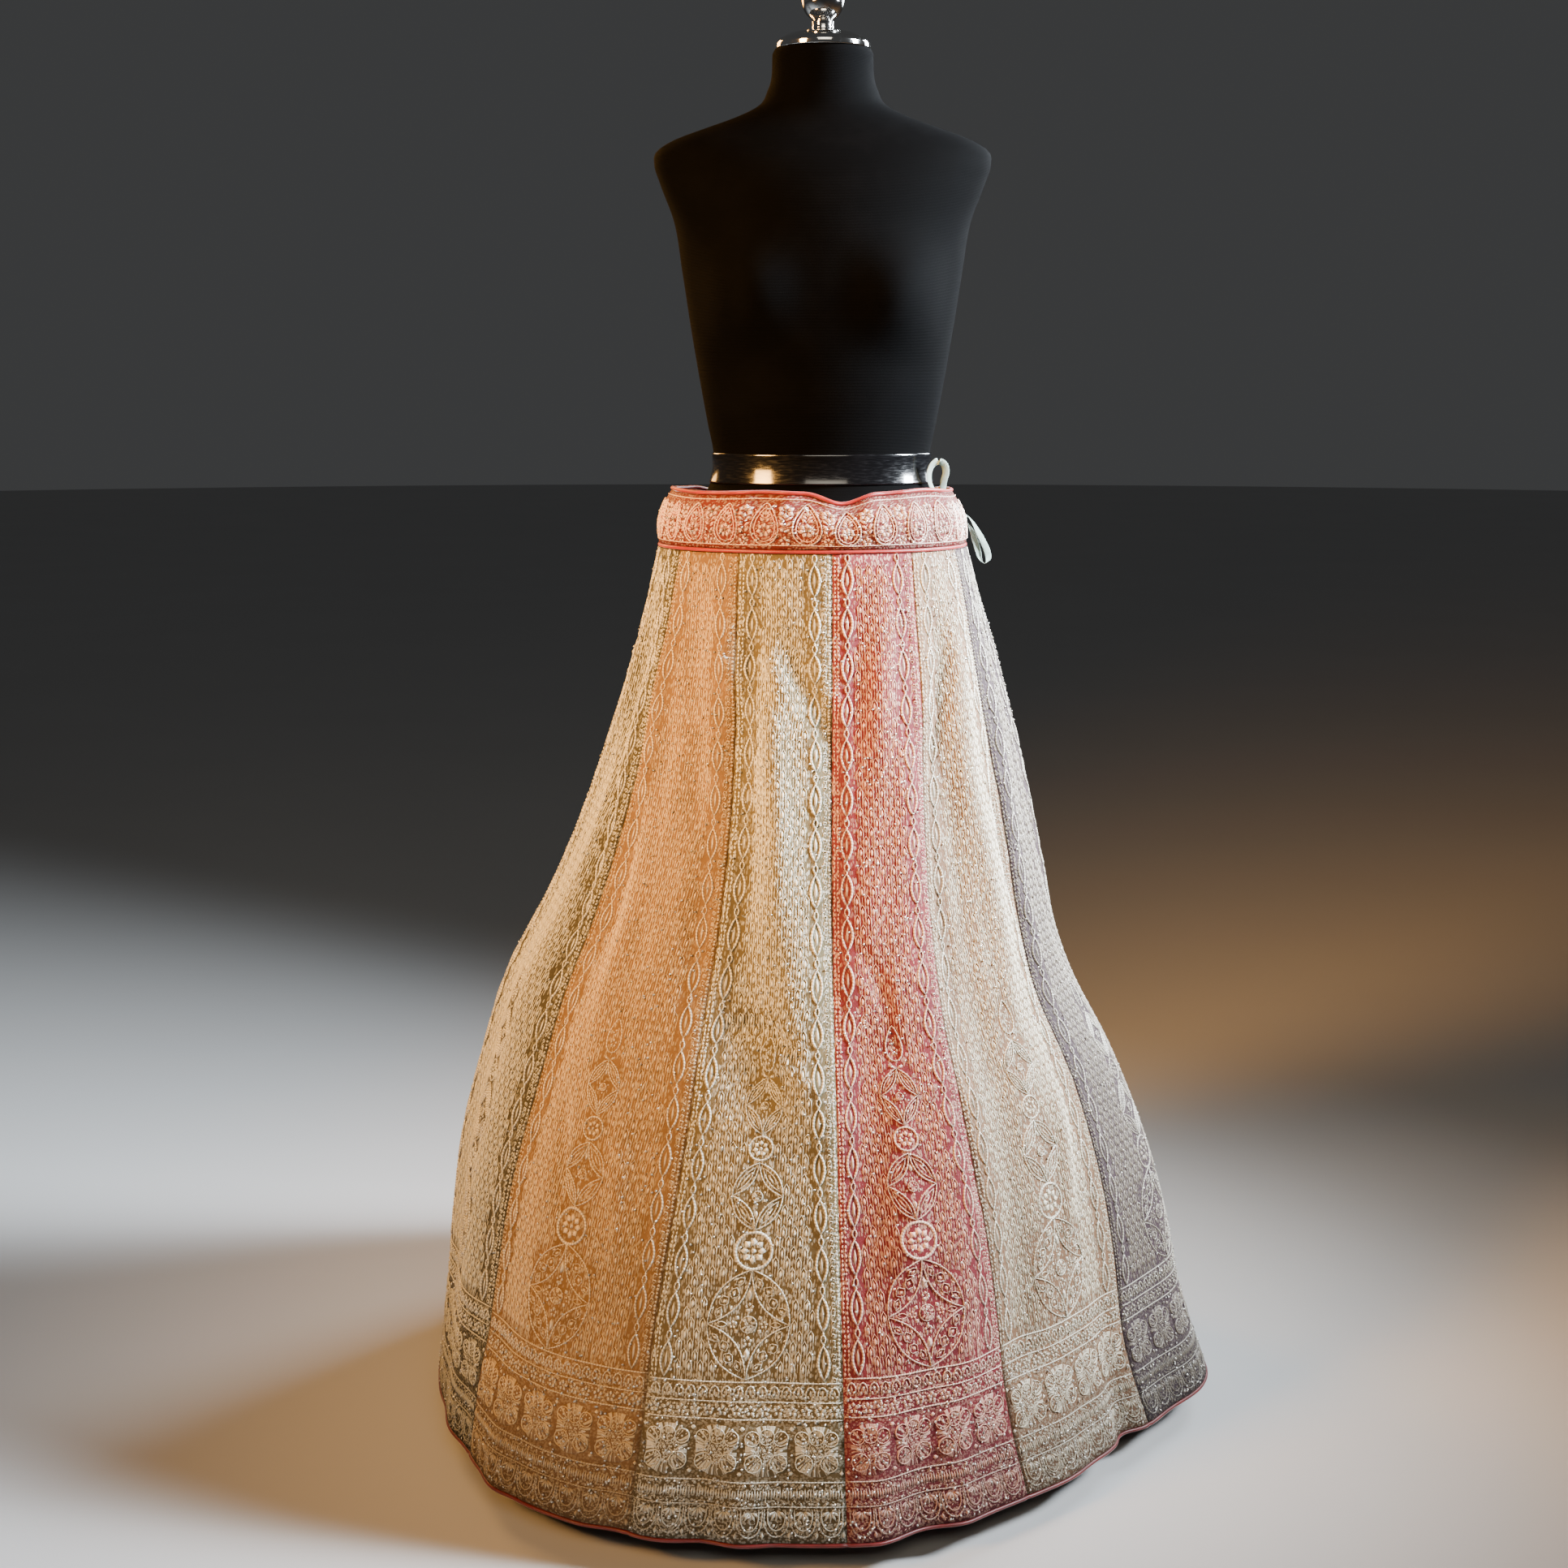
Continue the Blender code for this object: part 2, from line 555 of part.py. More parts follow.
# ---------------------------------------------------------------- the dress form
def build_torso(black, parts):
    """Hips to neck in one smooth skin, closed flat at both ends."""
    angles = np.linspace(0.0, 360.0, TORSO_SIDES, endpoint=False)
    rings = torso(angles[None, :], torso_heights()[:, None])
    index = np.arange(rings.shape[0] * TORSO_SIDES).reshape(-1, TORSO_SIDES)
    ahead = np.roll(index, -1, axis=1)
    faces = np.stack([index[:-1], ahead[:-1], ahead[1:], index[1:]], axis=-1).reshape(-1, 4).tolist()
    faces += [index[0, ::-1].tolist(), index[-1].tolist()]
    mesh = bpy.data.meshes.new("form_torso")
    mesh.from_pydata(rings.reshape(-1, 3).tolist(), [], faces)
    mesh.shade_smooth()
    mesh.set_sharp_from_angle(angle=math.radians(SHARP_ANGLE))
    place(bpy.data.objects.new("form_torso", mesh), black, parts)


def build_belt(gloss, parts):
    """A plain belt on the torso's own rings, just outside its skin."""
    heights = torso_heights()
    heights = heights[(heights >= BELT_BOTTOM) & (heights <= BELT_TOP)]
    angles = np.linspace(0.0, 360.0, TORSO_SIDES, endpoint=False)
    hoop("form_waist_belt", torso(angles[None, :], heights[:, None], out=BELT_GAP), BELT_WALL, gloss, parts)


def build_neck_and_stand(chrome, steel, parts):
    turned("form_neck_cap", CAP_PROFILE, chrome, parts)
    swing = np.radians(np.linspace(FINIAL_KNOB_START, 90.0, FINIAL_KNOB_STEPS))
    radii = FINIAL_KNOB_RADIUS * np.cos(swing)
    radii[-1] = 0.0
    heights = FINIAL_KNOB_CENTRE + FINIAL_KNOB_RADIUS * np.sin(swing)
    turned("form_finial", (*FINIAL_FOOT, *zip(radii.tolist(), heights.tolist())), chrome, parts)
    disc("stand_pole", POLE_RADIUS, BASE_THICKNESS + GAP, TORSO[0][0] - GAP, 0.0, steel, parts)
    disc("stand_base", BASE_RADIUS, 0.0, BASE_THICKNESS, BASE_EDGE, steel, parts)


def main():
    for obj in list(bpy.data.objects):
        bpy.data.objects.remove(obj, do_unlink=True)
    parts = bpy.data.collections.new("lehenga skirt on dress form")
    bpy.context.scene.collection.children.link(parts)

    red = material("coral red piping and band", (0.62, 0.08, 0.09), 0.6)
    mint = material("pale mint tape", (0.62, 0.70, 0.62), 0.8)
    black = material("black jersey", (0.012, 0.012, 0.013), 0.85)
    gloss = material("glossy black belt", (0.008, 0.008, 0.009), 0.15)
    chrome = material("chrome", (0.80, 0.80, 0.80), 0.12, 1.0)
    steel = material("black painted steel", (0.03, 0.03, 0.03), 0.45)

    build_panels(parts)
    build_hem_piping(red, parts)
    build_waistband(red, parts)
    build_waistband_piping(red, parts)
    build_drawstring(mint, parts)
    build_torso(black, parts)
    build_belt(gloss, parts)
    build_neck_and_stand(chrome, steel, parts)


main()
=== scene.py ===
"""A twelve-panel embroidered lehenga skirt on a limbless dress form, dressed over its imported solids.

Metres, +Z up, the front faces -Y.  An angle round the skirt starts at the front and grows towards +X.
Cloth is a surface of two parameters, angle and way down; threads, petals and sequins are small shapes drawn
flat in metres and laid on that surface, so they follow every fold.
"""

import json
import math

import bpy
import numpy as np
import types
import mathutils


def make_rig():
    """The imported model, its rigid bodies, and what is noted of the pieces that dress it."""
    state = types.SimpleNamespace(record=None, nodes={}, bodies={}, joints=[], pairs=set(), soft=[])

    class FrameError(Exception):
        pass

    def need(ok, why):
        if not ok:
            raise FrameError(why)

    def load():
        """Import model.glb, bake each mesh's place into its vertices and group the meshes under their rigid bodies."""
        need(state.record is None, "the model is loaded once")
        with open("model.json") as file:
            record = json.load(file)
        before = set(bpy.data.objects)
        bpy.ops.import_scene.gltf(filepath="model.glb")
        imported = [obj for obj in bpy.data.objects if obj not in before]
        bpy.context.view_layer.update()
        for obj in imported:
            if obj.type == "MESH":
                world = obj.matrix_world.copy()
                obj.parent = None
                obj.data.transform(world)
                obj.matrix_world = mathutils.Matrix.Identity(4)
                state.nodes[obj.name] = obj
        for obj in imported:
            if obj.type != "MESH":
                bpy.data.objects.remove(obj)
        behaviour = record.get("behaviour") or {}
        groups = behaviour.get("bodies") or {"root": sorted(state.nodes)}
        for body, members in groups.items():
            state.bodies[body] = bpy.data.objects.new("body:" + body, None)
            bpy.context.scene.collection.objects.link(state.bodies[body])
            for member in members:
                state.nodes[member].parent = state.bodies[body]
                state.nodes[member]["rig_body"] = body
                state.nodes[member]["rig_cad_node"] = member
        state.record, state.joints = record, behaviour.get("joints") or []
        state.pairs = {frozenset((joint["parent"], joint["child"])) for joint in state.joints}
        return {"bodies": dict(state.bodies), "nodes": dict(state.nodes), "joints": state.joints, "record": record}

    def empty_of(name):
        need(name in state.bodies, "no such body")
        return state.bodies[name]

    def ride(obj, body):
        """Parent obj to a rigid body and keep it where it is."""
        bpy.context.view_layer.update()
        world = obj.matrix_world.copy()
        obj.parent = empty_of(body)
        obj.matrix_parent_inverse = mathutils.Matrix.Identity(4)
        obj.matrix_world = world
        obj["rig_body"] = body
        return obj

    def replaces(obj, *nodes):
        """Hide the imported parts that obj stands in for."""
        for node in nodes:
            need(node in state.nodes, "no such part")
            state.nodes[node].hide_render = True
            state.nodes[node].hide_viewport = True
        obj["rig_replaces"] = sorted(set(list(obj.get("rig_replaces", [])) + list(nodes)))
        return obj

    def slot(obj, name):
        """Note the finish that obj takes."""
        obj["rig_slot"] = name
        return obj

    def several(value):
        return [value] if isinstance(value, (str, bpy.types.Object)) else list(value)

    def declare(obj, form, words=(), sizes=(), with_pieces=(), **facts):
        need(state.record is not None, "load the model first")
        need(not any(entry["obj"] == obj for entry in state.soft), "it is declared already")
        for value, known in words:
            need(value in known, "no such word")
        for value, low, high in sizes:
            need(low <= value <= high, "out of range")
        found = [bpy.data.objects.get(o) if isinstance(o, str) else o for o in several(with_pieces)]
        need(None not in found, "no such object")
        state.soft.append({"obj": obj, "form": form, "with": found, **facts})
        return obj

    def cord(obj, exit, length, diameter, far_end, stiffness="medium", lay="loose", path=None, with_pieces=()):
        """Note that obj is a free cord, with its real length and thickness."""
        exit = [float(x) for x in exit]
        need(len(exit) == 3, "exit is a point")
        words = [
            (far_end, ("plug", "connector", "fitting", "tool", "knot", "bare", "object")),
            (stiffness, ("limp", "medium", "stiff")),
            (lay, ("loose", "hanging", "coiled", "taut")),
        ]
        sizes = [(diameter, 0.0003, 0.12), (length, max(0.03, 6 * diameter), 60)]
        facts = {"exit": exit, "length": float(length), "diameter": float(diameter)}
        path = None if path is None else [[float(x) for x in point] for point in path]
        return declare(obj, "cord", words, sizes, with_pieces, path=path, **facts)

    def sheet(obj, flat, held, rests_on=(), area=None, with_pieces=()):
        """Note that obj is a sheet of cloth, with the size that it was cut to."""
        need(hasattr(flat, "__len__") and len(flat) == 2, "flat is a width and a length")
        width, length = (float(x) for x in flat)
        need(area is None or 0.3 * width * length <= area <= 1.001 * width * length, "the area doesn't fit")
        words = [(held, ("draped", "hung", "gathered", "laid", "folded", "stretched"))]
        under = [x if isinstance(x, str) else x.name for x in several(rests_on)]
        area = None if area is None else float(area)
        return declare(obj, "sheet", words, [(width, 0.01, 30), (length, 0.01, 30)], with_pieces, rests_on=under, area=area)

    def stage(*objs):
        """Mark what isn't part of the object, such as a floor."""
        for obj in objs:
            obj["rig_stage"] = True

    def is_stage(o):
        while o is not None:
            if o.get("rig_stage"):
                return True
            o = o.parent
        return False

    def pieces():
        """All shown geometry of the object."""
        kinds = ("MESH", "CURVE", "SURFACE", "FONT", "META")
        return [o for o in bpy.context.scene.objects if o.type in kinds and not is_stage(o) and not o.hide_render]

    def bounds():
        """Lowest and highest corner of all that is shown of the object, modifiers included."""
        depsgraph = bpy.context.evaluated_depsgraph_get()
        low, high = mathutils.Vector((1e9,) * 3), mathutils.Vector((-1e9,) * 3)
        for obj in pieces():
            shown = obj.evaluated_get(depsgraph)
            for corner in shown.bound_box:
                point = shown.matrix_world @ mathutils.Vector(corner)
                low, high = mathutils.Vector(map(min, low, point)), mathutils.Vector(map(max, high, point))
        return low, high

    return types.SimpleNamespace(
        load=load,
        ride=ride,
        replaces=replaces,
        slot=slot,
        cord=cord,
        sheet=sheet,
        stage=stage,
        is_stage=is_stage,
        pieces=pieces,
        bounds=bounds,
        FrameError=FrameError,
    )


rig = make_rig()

bl_info = {
    "name": "Lehenga skirt on a dress form",
    "version": (1, 0, 0),
    "blender": (4, 5, 0),
    "location": "3D View > Sidebar > Lehenga",
    "description": "Makes the embroidered skirt, its waistband and drawstring, the form and the studio",
    "category": "Add Mesh",
}

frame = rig.load()
CAD_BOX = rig.bounds()
BODY = "root"
SIZE_FILE = "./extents.json"

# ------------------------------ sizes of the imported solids
PANELS = 12
FIRST_SEAM = 3.0  # degrees, the seam at the front
PANEL_ANGLE = 360.0 / PANELS
FOLD_FADE = 0.07  # share of the way down over which a fold ends
NEAR_HEM = 0.98  # how far down the hem's slope is measured from
SKIRT_TOP = 1.0310
SKIRT_HEM = 0.0370
BAND_BOTTOM = 1.0365
BAND_HEIGHT = 0.0575
BAND_WALL = 0.0026
SIDE_OPENING = 93.0  # degrees
OPENING_WIDTH = 0.0100
PIPING_RADIUS = 0.0022
PIPING_GAP = 0.00018  # from the cloth's edge
TAPE_WIDTH = 0.0080
TAPE_THICKNESS = 0.0012
KNOT_SIZE = (0.0090, 0.0088, 0.0130)
KNOT_CENTRE = (0.1655, 0.0070, 1.0610)
BELT_BOTTOM = 1.1050
BELT_TOP = 1.1390
BELT_WALL = 0.0018
BELT_GAP = 0.00045
BUST_HEIGHT = 1.3150
BUST_ANGLE = 36.0
BUST_SPREAD = 32.0
BUST_REACH = 0.0220
BUST_HALF_HEIGHT = 0.085
BASE_RADIUS = 0.1900
BASE_THICKNESS = 0.0100
POLE_RADIUS = 0.0175
GAP = 0.0003

# Sections of the skirt, from the upper edge (0) to the hem (1): how far it reaches from the axis.
#            down   right   left    front   back
SECTIONS = (
    (0.00, 0.1680, 0.1890, 0.1365, 0.1365),
    (0.10, 0.1935, 0.2115, 0.1570, 0.1590),
    (0.20, 0.2205, 0.2425, 0.1850, 0.1890),
    (0.30, 0.2420, 0.2785, 0.2170, 0.2240),
    (0.40, 0.2645, 0.3225, 0.2530, 0.2630),
    (0.50, 0.2945, 0.3735, 0.2950, 0.3050),
    (0.60, 0.3455, 0.4055, 0.3390, 0.3490),
    (0.70, 0.3845, 0.4315, 0.3780, 0.3870),
    (0.80, 0.4115, 0.4450, 0.4110, 0.4190),
    (0.90, 0.4320, 0.4555, 0.4430, 0.4460),
    (1.00, 0.4650, 0.4670, 0.4710, 0.4660),
)

# How far the cloth drifts towards the front and the back, in degrees, 35 degrees away from them.
DRIFT_PEAK = 2 / 27 ** 0.5
SEAM_DRIFT = (
    (0.00, -3.0),
    (0.10, 0.0),
    (0.30, 5.2),
    (0.55, 7.0),
    (0.70, 5.8),
    (0.80, 4.4),
    (0.93, 3.0),
    (1.00, 2.0),
)

# Soft folds of the skirt; one that ends at 2 runs on past the hem.
#    at waist  at hem  half width  height  starts  full  ends
FOLDS = (
    (-30.0, -38.0, 34.0, 0.032, 0.3, 1.0, 2.0),
    (45.0, 49.0, 40.0, -0.048, 0.42, 1.0, 2.0),
    (28.0, 25.0, 18.0, -0.014, 0.62, 1.0, 2.0),
    (76.0, 80.0, 14.0, 0.013, 0.3, 0.95, 2.0),
    (-25.0, -1.0, 9.0, -0.011, 0.02, 0.16, 0.6),
    (-17.0, 8.0, 8.0, 0.008, 0.02, 0.2, 0.64),
    (13.0, 5.0, 7.0, -0.006, 0.03, 0.25, 0.8),
    (27.0, 10.0, 8.0, 0.005, 0.04, 0.3, 0.78),
    (38.0, 33.0, 6.0, -0.006, 0.06, 0.3, 0.9),
    (26.0, 22.0, 7.0, 0.006, 0.3, 0.55, 0.9),
    (58.0, 56.0, 7.0, -0.005, 0.08, 0.4, 2.0),
    (-45.0, -52.0, 9.0, -0.008, 0.05, 0.35, 0.92),
    (-62.0, -64.0, 8.0, 0.006, 0.05, 0.4, 2.0),
    (-80.0, -76.0, 8.0, -0.007, 0.08, 0.45, 0.95),
    (99.0, 104.0, 9.0, -0.009, 0.05, 0.45, 2.0),
    (117.0, 120.0, 12.0, 0.014, 0.1, 0.7, 2.0),
    (140.0, 143.0, 12.0, -0.016, 0.08, 0.6, 2.0),
    (163.0, 160.0, 11.0, 0.013, 0.12, 0.6, 2.0),
    (184.0, 181.0, 12.0, -0.014, 0.06, 0.5, 2.0),
    (203.0, 206.0, 12.0, 0.015, 0.1, 0.6, 2.0),
    (226.0, 229.0, 10.0, -0.013, 0.08, 0.55, 2.0),
    (247.0, 250.0, 11.0, 0.010, 0.1, 0.6, 2.0),
    (268.0, 267.0, 8.0, -0.007, 0.1, 0.5, 2.0),
    (-10.0, -11.0, 5.5, 0.008, 0.8, 1.0, 2.0),
    (-20.0, -21.0, 6.0, 0.006, 0.8, 1.0, 2.0),
    (13.5, 13.5, 7.5, -0.016, 0.8, 1.0, 2.0),
    (57.0, 57.0, 4.5, -0.007, 0.82, 1.0, 2.0),
    (-47.0, -46.5, 5.0, 0.006, 0.8, 1.0, 2.0),
    (-29.0, -27.5, 4.5, -0.004, 0.84, 1.0, 2.0),
    (130.0, 130.0, 5.0, 0.006, 0.82, 1.0, 2.0),
    (170.0, 171.0, 5.0, -0.006, 0.8, 1.0, 2.0),
    (215.0, 216.0, 5.0, 0.005, 0.82, 1.0, 2.0),
    (260.0, 259.0, 5.0, -0.006, 0.8, 1.0, 2.0),
)

# Creases on top of the folds, ridges and troughs, each along a line of places.
#    half width  height   angle, down
CREASES = (
    (0.024, 0.0077, ((-31.5, 0.02), (-32.0, 0.06), (-30.0, 0.11), (-22.5, 0.15), (-15.5, 0.19),
                     (-12.5, 0.25), (-11.3, 0.30), (-11.3, 0.38), (-12.3, 0.48))),
    (0.019, -0.0068, ((-28.0, 0.01), (-16.0, 0.076), (-8.5, 0.118), (-2.7, 0.162), (2.3, 0.205),
                      (2.7, 0.276), (2.5, 0.36), (2.3, 0.444), (2.0, 0.54))),
    (0.026, 0.0075, ((22.0, 0.03), (19.4, 0.104), (14.5, 0.192), (12.0, 0.278), (11.3, 0.362), (9.4, 0.446),
                     (8.0, 0.54))),
    (0.022, -0.0065, ((43.0, 0.04), (43.0, 0.12), (38.8, 0.16), (33.0, 0.22), (30.6, 0.288), (29.4, 0.366),
                      (30.0, 0.452), (28.2, 0.55))),
    (0.026, 0.0065, ((55.0, 0.05), (47.8, 0.16), (45.6, 0.252), (46.5, 0.342), (47.0, 0.432), (45.0, 0.56))),
    (0.022, -0.0070, ((64.0, 0.09), (61.0, 0.23), (58.2, 0.274), (57.3, 0.348), (59.5, 0.432),
                      (60.6, 0.58))),
    (0.024, -0.0060, ((-45.0, 0.04), (-40.0, 0.15), (-33.0, 0.25), (-27.0, 0.33), (-24.0, 0.42),
                      (-21.0, 0.52))),
    (0.024, 0.0063, ((-58.0, 0.04), (-55.0, 0.15), (-47.0, 0.27), (-42.0, 0.40), (-39.0, 0.55))),
    (0.020, -0.0057, ((-70.0, 0.05), (-68.0, 0.18), (-60.0, 0.30), (-56.0, 0.44), (-55.0, 0.58))),
    (0.012, -0.0070, ((-18.0, 0.500), (-12.2, 0.495), (-9.4, 0.500), (-6.7, 0.514), (-2.8, 0.540))),
    (0.016, 0.0055, ((-18.0, 0.532), (-10.9, 0.524), (-4.9, 0.534), (-0.5, 0.566))),
    (0.015, -0.0034, ((5.0, 0.398), (8.8, 0.420), (14.0, 0.478), (14.8, 0.560))),
    (0.016, -0.0045, ((25.0, 0.560), (27.0, 0.700))),
    (0.018, 0.0042, ((52.0, 0.600), (47.0, 0.800))),
    (0.016, -0.0050, ((-44.0, 0.580), (-38.0, 0.720))),
    (0.016, 0.0045, ((-31.0, 0.600), (-29.0, 0.760))),
    (0.022, 0.0060, ((93.0, 0.04), (92.0, 0.16), (88.0, 0.30), (91.0, 0.46))),
    (0.022, -0.0057, ((82.0, 0.05), (80.0, 0.18), (76.0, 0.32), (79.0, 0.50))),
    (0.024, 0.0072, ((108.0, 0.03), (106.0, 0.10), (112.0, 0.18), (118.0, 0.28), (121.0, 0.40),
                     (120.0, 0.52))),
    (0.020, -0.0065, ((118.0, 0.02), (122.0, 0.10), (129.0, 0.19), (133.0, 0.30), (134.0, 0.42),
                      (133.0, 0.54))),
    (0.014, -0.0063, ((124.0, 0.520), (131.0, 0.512), (138.0, 0.530), (143.0, 0.570))),
    (0.026, 0.0070, ((150.0, 0.04), (147.0, 0.14), (145.0, 0.26), (144.0, 0.38), (146.0, 0.52))),
    (0.021, -0.0068, ((176.0, 0.02), (168.0, 0.09), (160.0, 0.17), (156.0, 0.28), (156.0, 0.40),
                      (158.0, 0.54))),
    (0.024, 0.0075, ((190.0, 0.03), (184.0, 0.11), (176.0, 0.20), (173.0, 0.31), (172.0, 0.45))),
    (0.014, -0.0065, ((166.0, 0.480), (174.0, 0.476), (182.0, 0.496), (188.0, 0.540))),
    (0.020, -0.0060, ((203.0, 0.05), (199.0, 0.15), (193.0, 0.26), (190.0, 0.38), (191.0, 0.54))),
    (0.026, 0.0070, ((222.0, 0.03), (219.0, 0.13), (212.0, 0.23), (209.0, 0.36), (208.0, 0.52))),
    (0.022, -0.0065, ((236.0, 0.06), (233.0, 0.18), (228.0, 0.30), (226.0, 0.44), (227.0, 0.57))),
    (0.016, 0.0050, ((214.0, 0.560), (221.0, 0.600), (226.0, 0.680))),
    (0.024, 0.0068, ((252.0, 0.04), (250.0, 0.16), (246.0, 0.28), (245.0, 0.44))),
    (0.020, -0.0060, ((266.0, 0.05), (264.0, 0.17), (262.0, 0.30), (264.0, 0.47))),
    (0.022, 0.0063, ((282.0, 0.04), (284.0, 0.16), (281.0, 0.30), (279.0, 0.46))),
)
CREASE_ENDS = 0.22  # share of a crease's length over which it dies out
CREASE_LEAST = 0.20  # share of its height that is left at its ends
CREASE_REACH = 0.25  # radius at which a crease's length is measured
SEAM_DIP = 0.0012  # the cloth is drawn in along a seam
SEAM_DIP_WIDTH = 0.0045
WAVINESS = 0.0007
WAVINESS_FULL = 0.12  # how far down the waviness is full, from none at the waist
BAND_FOLDS_FULL = 0.45  # how far up the waistband its folds are full

# How far the waistband's face is drawn in, from its lower edge (0) to its upper edge (1).
BAND_SECTIONS = ((0.00, 0.0000), (0.45, 0.0015), (0.72, 0.0070), (1.00, 0.0165))

# Waves of its upper edge.
#    angle   half width   rise
BAND_WAVES = (
    (8.0, 15.0, -0.0105),
    (-22.0, 24.0, 0.0020),
    (48.0, 26.0, 0.0030),
    (128.0, 24.0, -0.0035),
    (176.0, 26.0, 0.0025),
    (222.0, 20.0, -0.0060),
    (276.0, 30.0, 0.0020),
)

# Soft folds of the band, which stand out most at its upper edge.
#    angle   half width   height
BAND_FOLDS = (
    (-52.0, 11.0, 0.0030),
    (-30.0, 8.0, 0.0034),
    (-13.0, 7.0, 0.0030),
    (3.0, 6.5, 0.0026),
    (19.0, 8.0, 0.0036),
    (37.0, 8.0, 0.0024),
    (60.0, 11.0, 0.0034),
    (122.0, 12.0, 0.0032),
    (150.0, 9.0, 0.0026),
    (171.0, 10.0, 0.0034),
    (198.0, 9.0, 0.0028),
    (226.0, 12.0, 0.0032),
    (262.0, 14.0, 0.0030),
)

# Sections of the dress form: how far it reaches from the axis.
#    height  sides   front   back
TORSO = (
    (0.8560, 0.1180, 0.0820, 0.0880),
    (0.8600, 0.1400, 0.1000, 0.1080),
    (0.8740, 0.1590, 0.1160, 0.1260),
    (0.9000, 0.1710, 0.1270, 0.1370),
    (0.9400, 0.1745, 0.1360, 0.1420),
    (0.9750, 0.1750, 0.1390, 0.1420),
    (1.0020, 0.1713, 0.1386, 0.1390),
    (1.0280, 0.1662, 0.1346, 0.1346),
    (1.0560, 0.1560, 0.1230, 0.1200),
    (1.0840, 0.1395, 0.1040, 0.1010),
    (1.1050, 0.1285, 0.0930, 0.0910),
    (1.1220, 0.1240, 0.0900, 0.0880),
    (1.1390, 0.1250, 0.0905, 0.0880),
    (1.1700, 0.1310, 0.0940, 0.0900),
    (1.2200, 0.1400, 0.1020, 0.0950),
    (1.2800, 0.1500, 0.1080, 0.1010),
    (1.3400, 0.1590, 0.1080, 0.1060),
    (1.4000, 0.1690, 0.1040, 0.1070),
    (1.4400, 0.1840, 0.0940, 0.1020),
    (1.4600, 0.1900, 0.0850, 0.0950),
    (1.4730, 0.1880, 0.0770, 0.0880),
    (1.4860, 0.1680, 0.0690, 0.0800),
    (1.4980, 0.1350, 0.0620, 0.0720),
    (1.5100, 0.1000, 0.0570, 0.0650),
    (1.5220, 0.0740, 0.0540, 0.0600),
    (1.5400, 0.0620, 0.0520, 0.0560),
    (1.5840, 0.0560, 0.0525, 0.0525),
)

# Profiles of the fittings: radius and height.
CAP_PROFILE = ((0.0000, 1.5843), (0.0530, 1.5843), (0.0530, 1.5900), (0.0505, 1.5945), (0.0400, 1.6000),
               (0.0240, 1.6040), (0.0140, 1.6060), (0.0000, 1.6060))
FINIAL_FOOT = ((0.0000, 1.6063), (0.0130, 1.6063), (0.0120, 1.6100), (0.0125, 1.6140))
FINIAL_KNOB_RADIUS = 0.0245
FINIAL_KNOB_CENTRE = 1.6375
FINIAL_KNOB_START = -65.0

# Routes of the drawstring's loops: x, y, z and the way the tape's width points, in degrees from +X.
DRAWSTRING_UPPER = (
    (0.1592, 0.0068, 1.0650, 90.0),
    (0.1570, 0.0055, 1.0660, 85.0),
    (0.1550, -0.0010, 1.0710, 70.0),
    (0.1465, -0.0180, 1.0795, 62.0),
    (0.1345, -0.0330, 1.0880, 70.0),
    (0.1265, -0.0430, 1.0980, 62.0),
    (0.1220, -0.0480, 1.1080, 50.0),
    (0.1215, -0.0500, 1.1180, 38.0),
    (0.1250, -0.0500, 1.1265, 26.0),
    (0.1320, -0.0480, 1.1305, 14.0),
    (0.1385, -0.0450, 1.1265, 8.0),
    (0.1410, -0.0410, 1.1180, 8.0),
    (0.1390, -0.0370, 1.1080, 14.0),
    (0.1387, -0.0310, 1.0980, 34.0),
    (0.1415, -0.0220, 1.0880, 54.0),
    (0.1555, -0.0030, 1.0690, 70.0),
    (0.1570, 0.0050, 1.0585, 85.0),
    (0.1592, 0.0068, 1.0570, 90.0),
)
DRAWSTRING_LOWER = (
    (0.1706, 0.0070, 1.0650, 90.0),
    (0.1750, 0.0068, 1.0600, 70.0),
    (0.1815, 0.0050, 1.0490, 40.0),
    (0.1880, 0.0030, 1.0365, 20.0),
    (0.1930, 0.0010, 1.0250, 12.0),
    (0.1943, 0.0000, 1.0160, 35.0),
    (0.1905, 0.0000, 1.0110, 90.0),
    (0.1860, 0.0005, 1.0150, 60.0),
    (0.1830, 0.0020, 1.0240, 25.0),
    (0.1795, 0.0040, 1.0360, 20.0),
    (0.1755, 0.0060, 1.0480, 40.0),
    (0.1706, 0.0070, 1.0570, 90.0),
)

COLOUR_NAMES = ("coral", "peach", "mauve", "sage", "tan", "olive")

# ------------------------------ sizes of the dressing
PANEL_COLUMNS = 26
PANEL_ROWS = 124
FINE = 8  # samples per column when a row is shared out evenly
BAND_GRID = (260, 12)  # columns and rows of the waistband
TORSO_GRID = (150, 96)  # rings up the torso and points round it
NECK_SEAM = (1.5330, 0.0030, 0.0007)  # height, half width and depth of the seam in the cover's neck
COVER_EDGE = (0.0025, 0.0020)  # how near its top the cover turns in, and by how much
BELT_GRID = (16, 160)  # points round the belt's section and round the waist
ROUND_SIDES = 96
FLOOR_SIDES = 96
PIPING_SIDES = 8
HEM_STEPS = 720
BAND_STEPS = 360
TAPE_STEPS = 110
TAPE_SIDES = 12
KNOT_GRID = (23, 40)  # rings from foot to head, both ends counted, and points round it
KNOT_WRAP = 0.07  # how far the knot's turns stand out
KNOB_STEPS = 28
SINK = 0.0003  # how deep a thread's underside lies in the cloth
INSIDE_LAST = 1.0001  # keeps a place at a cloth's far edge inside its last cell

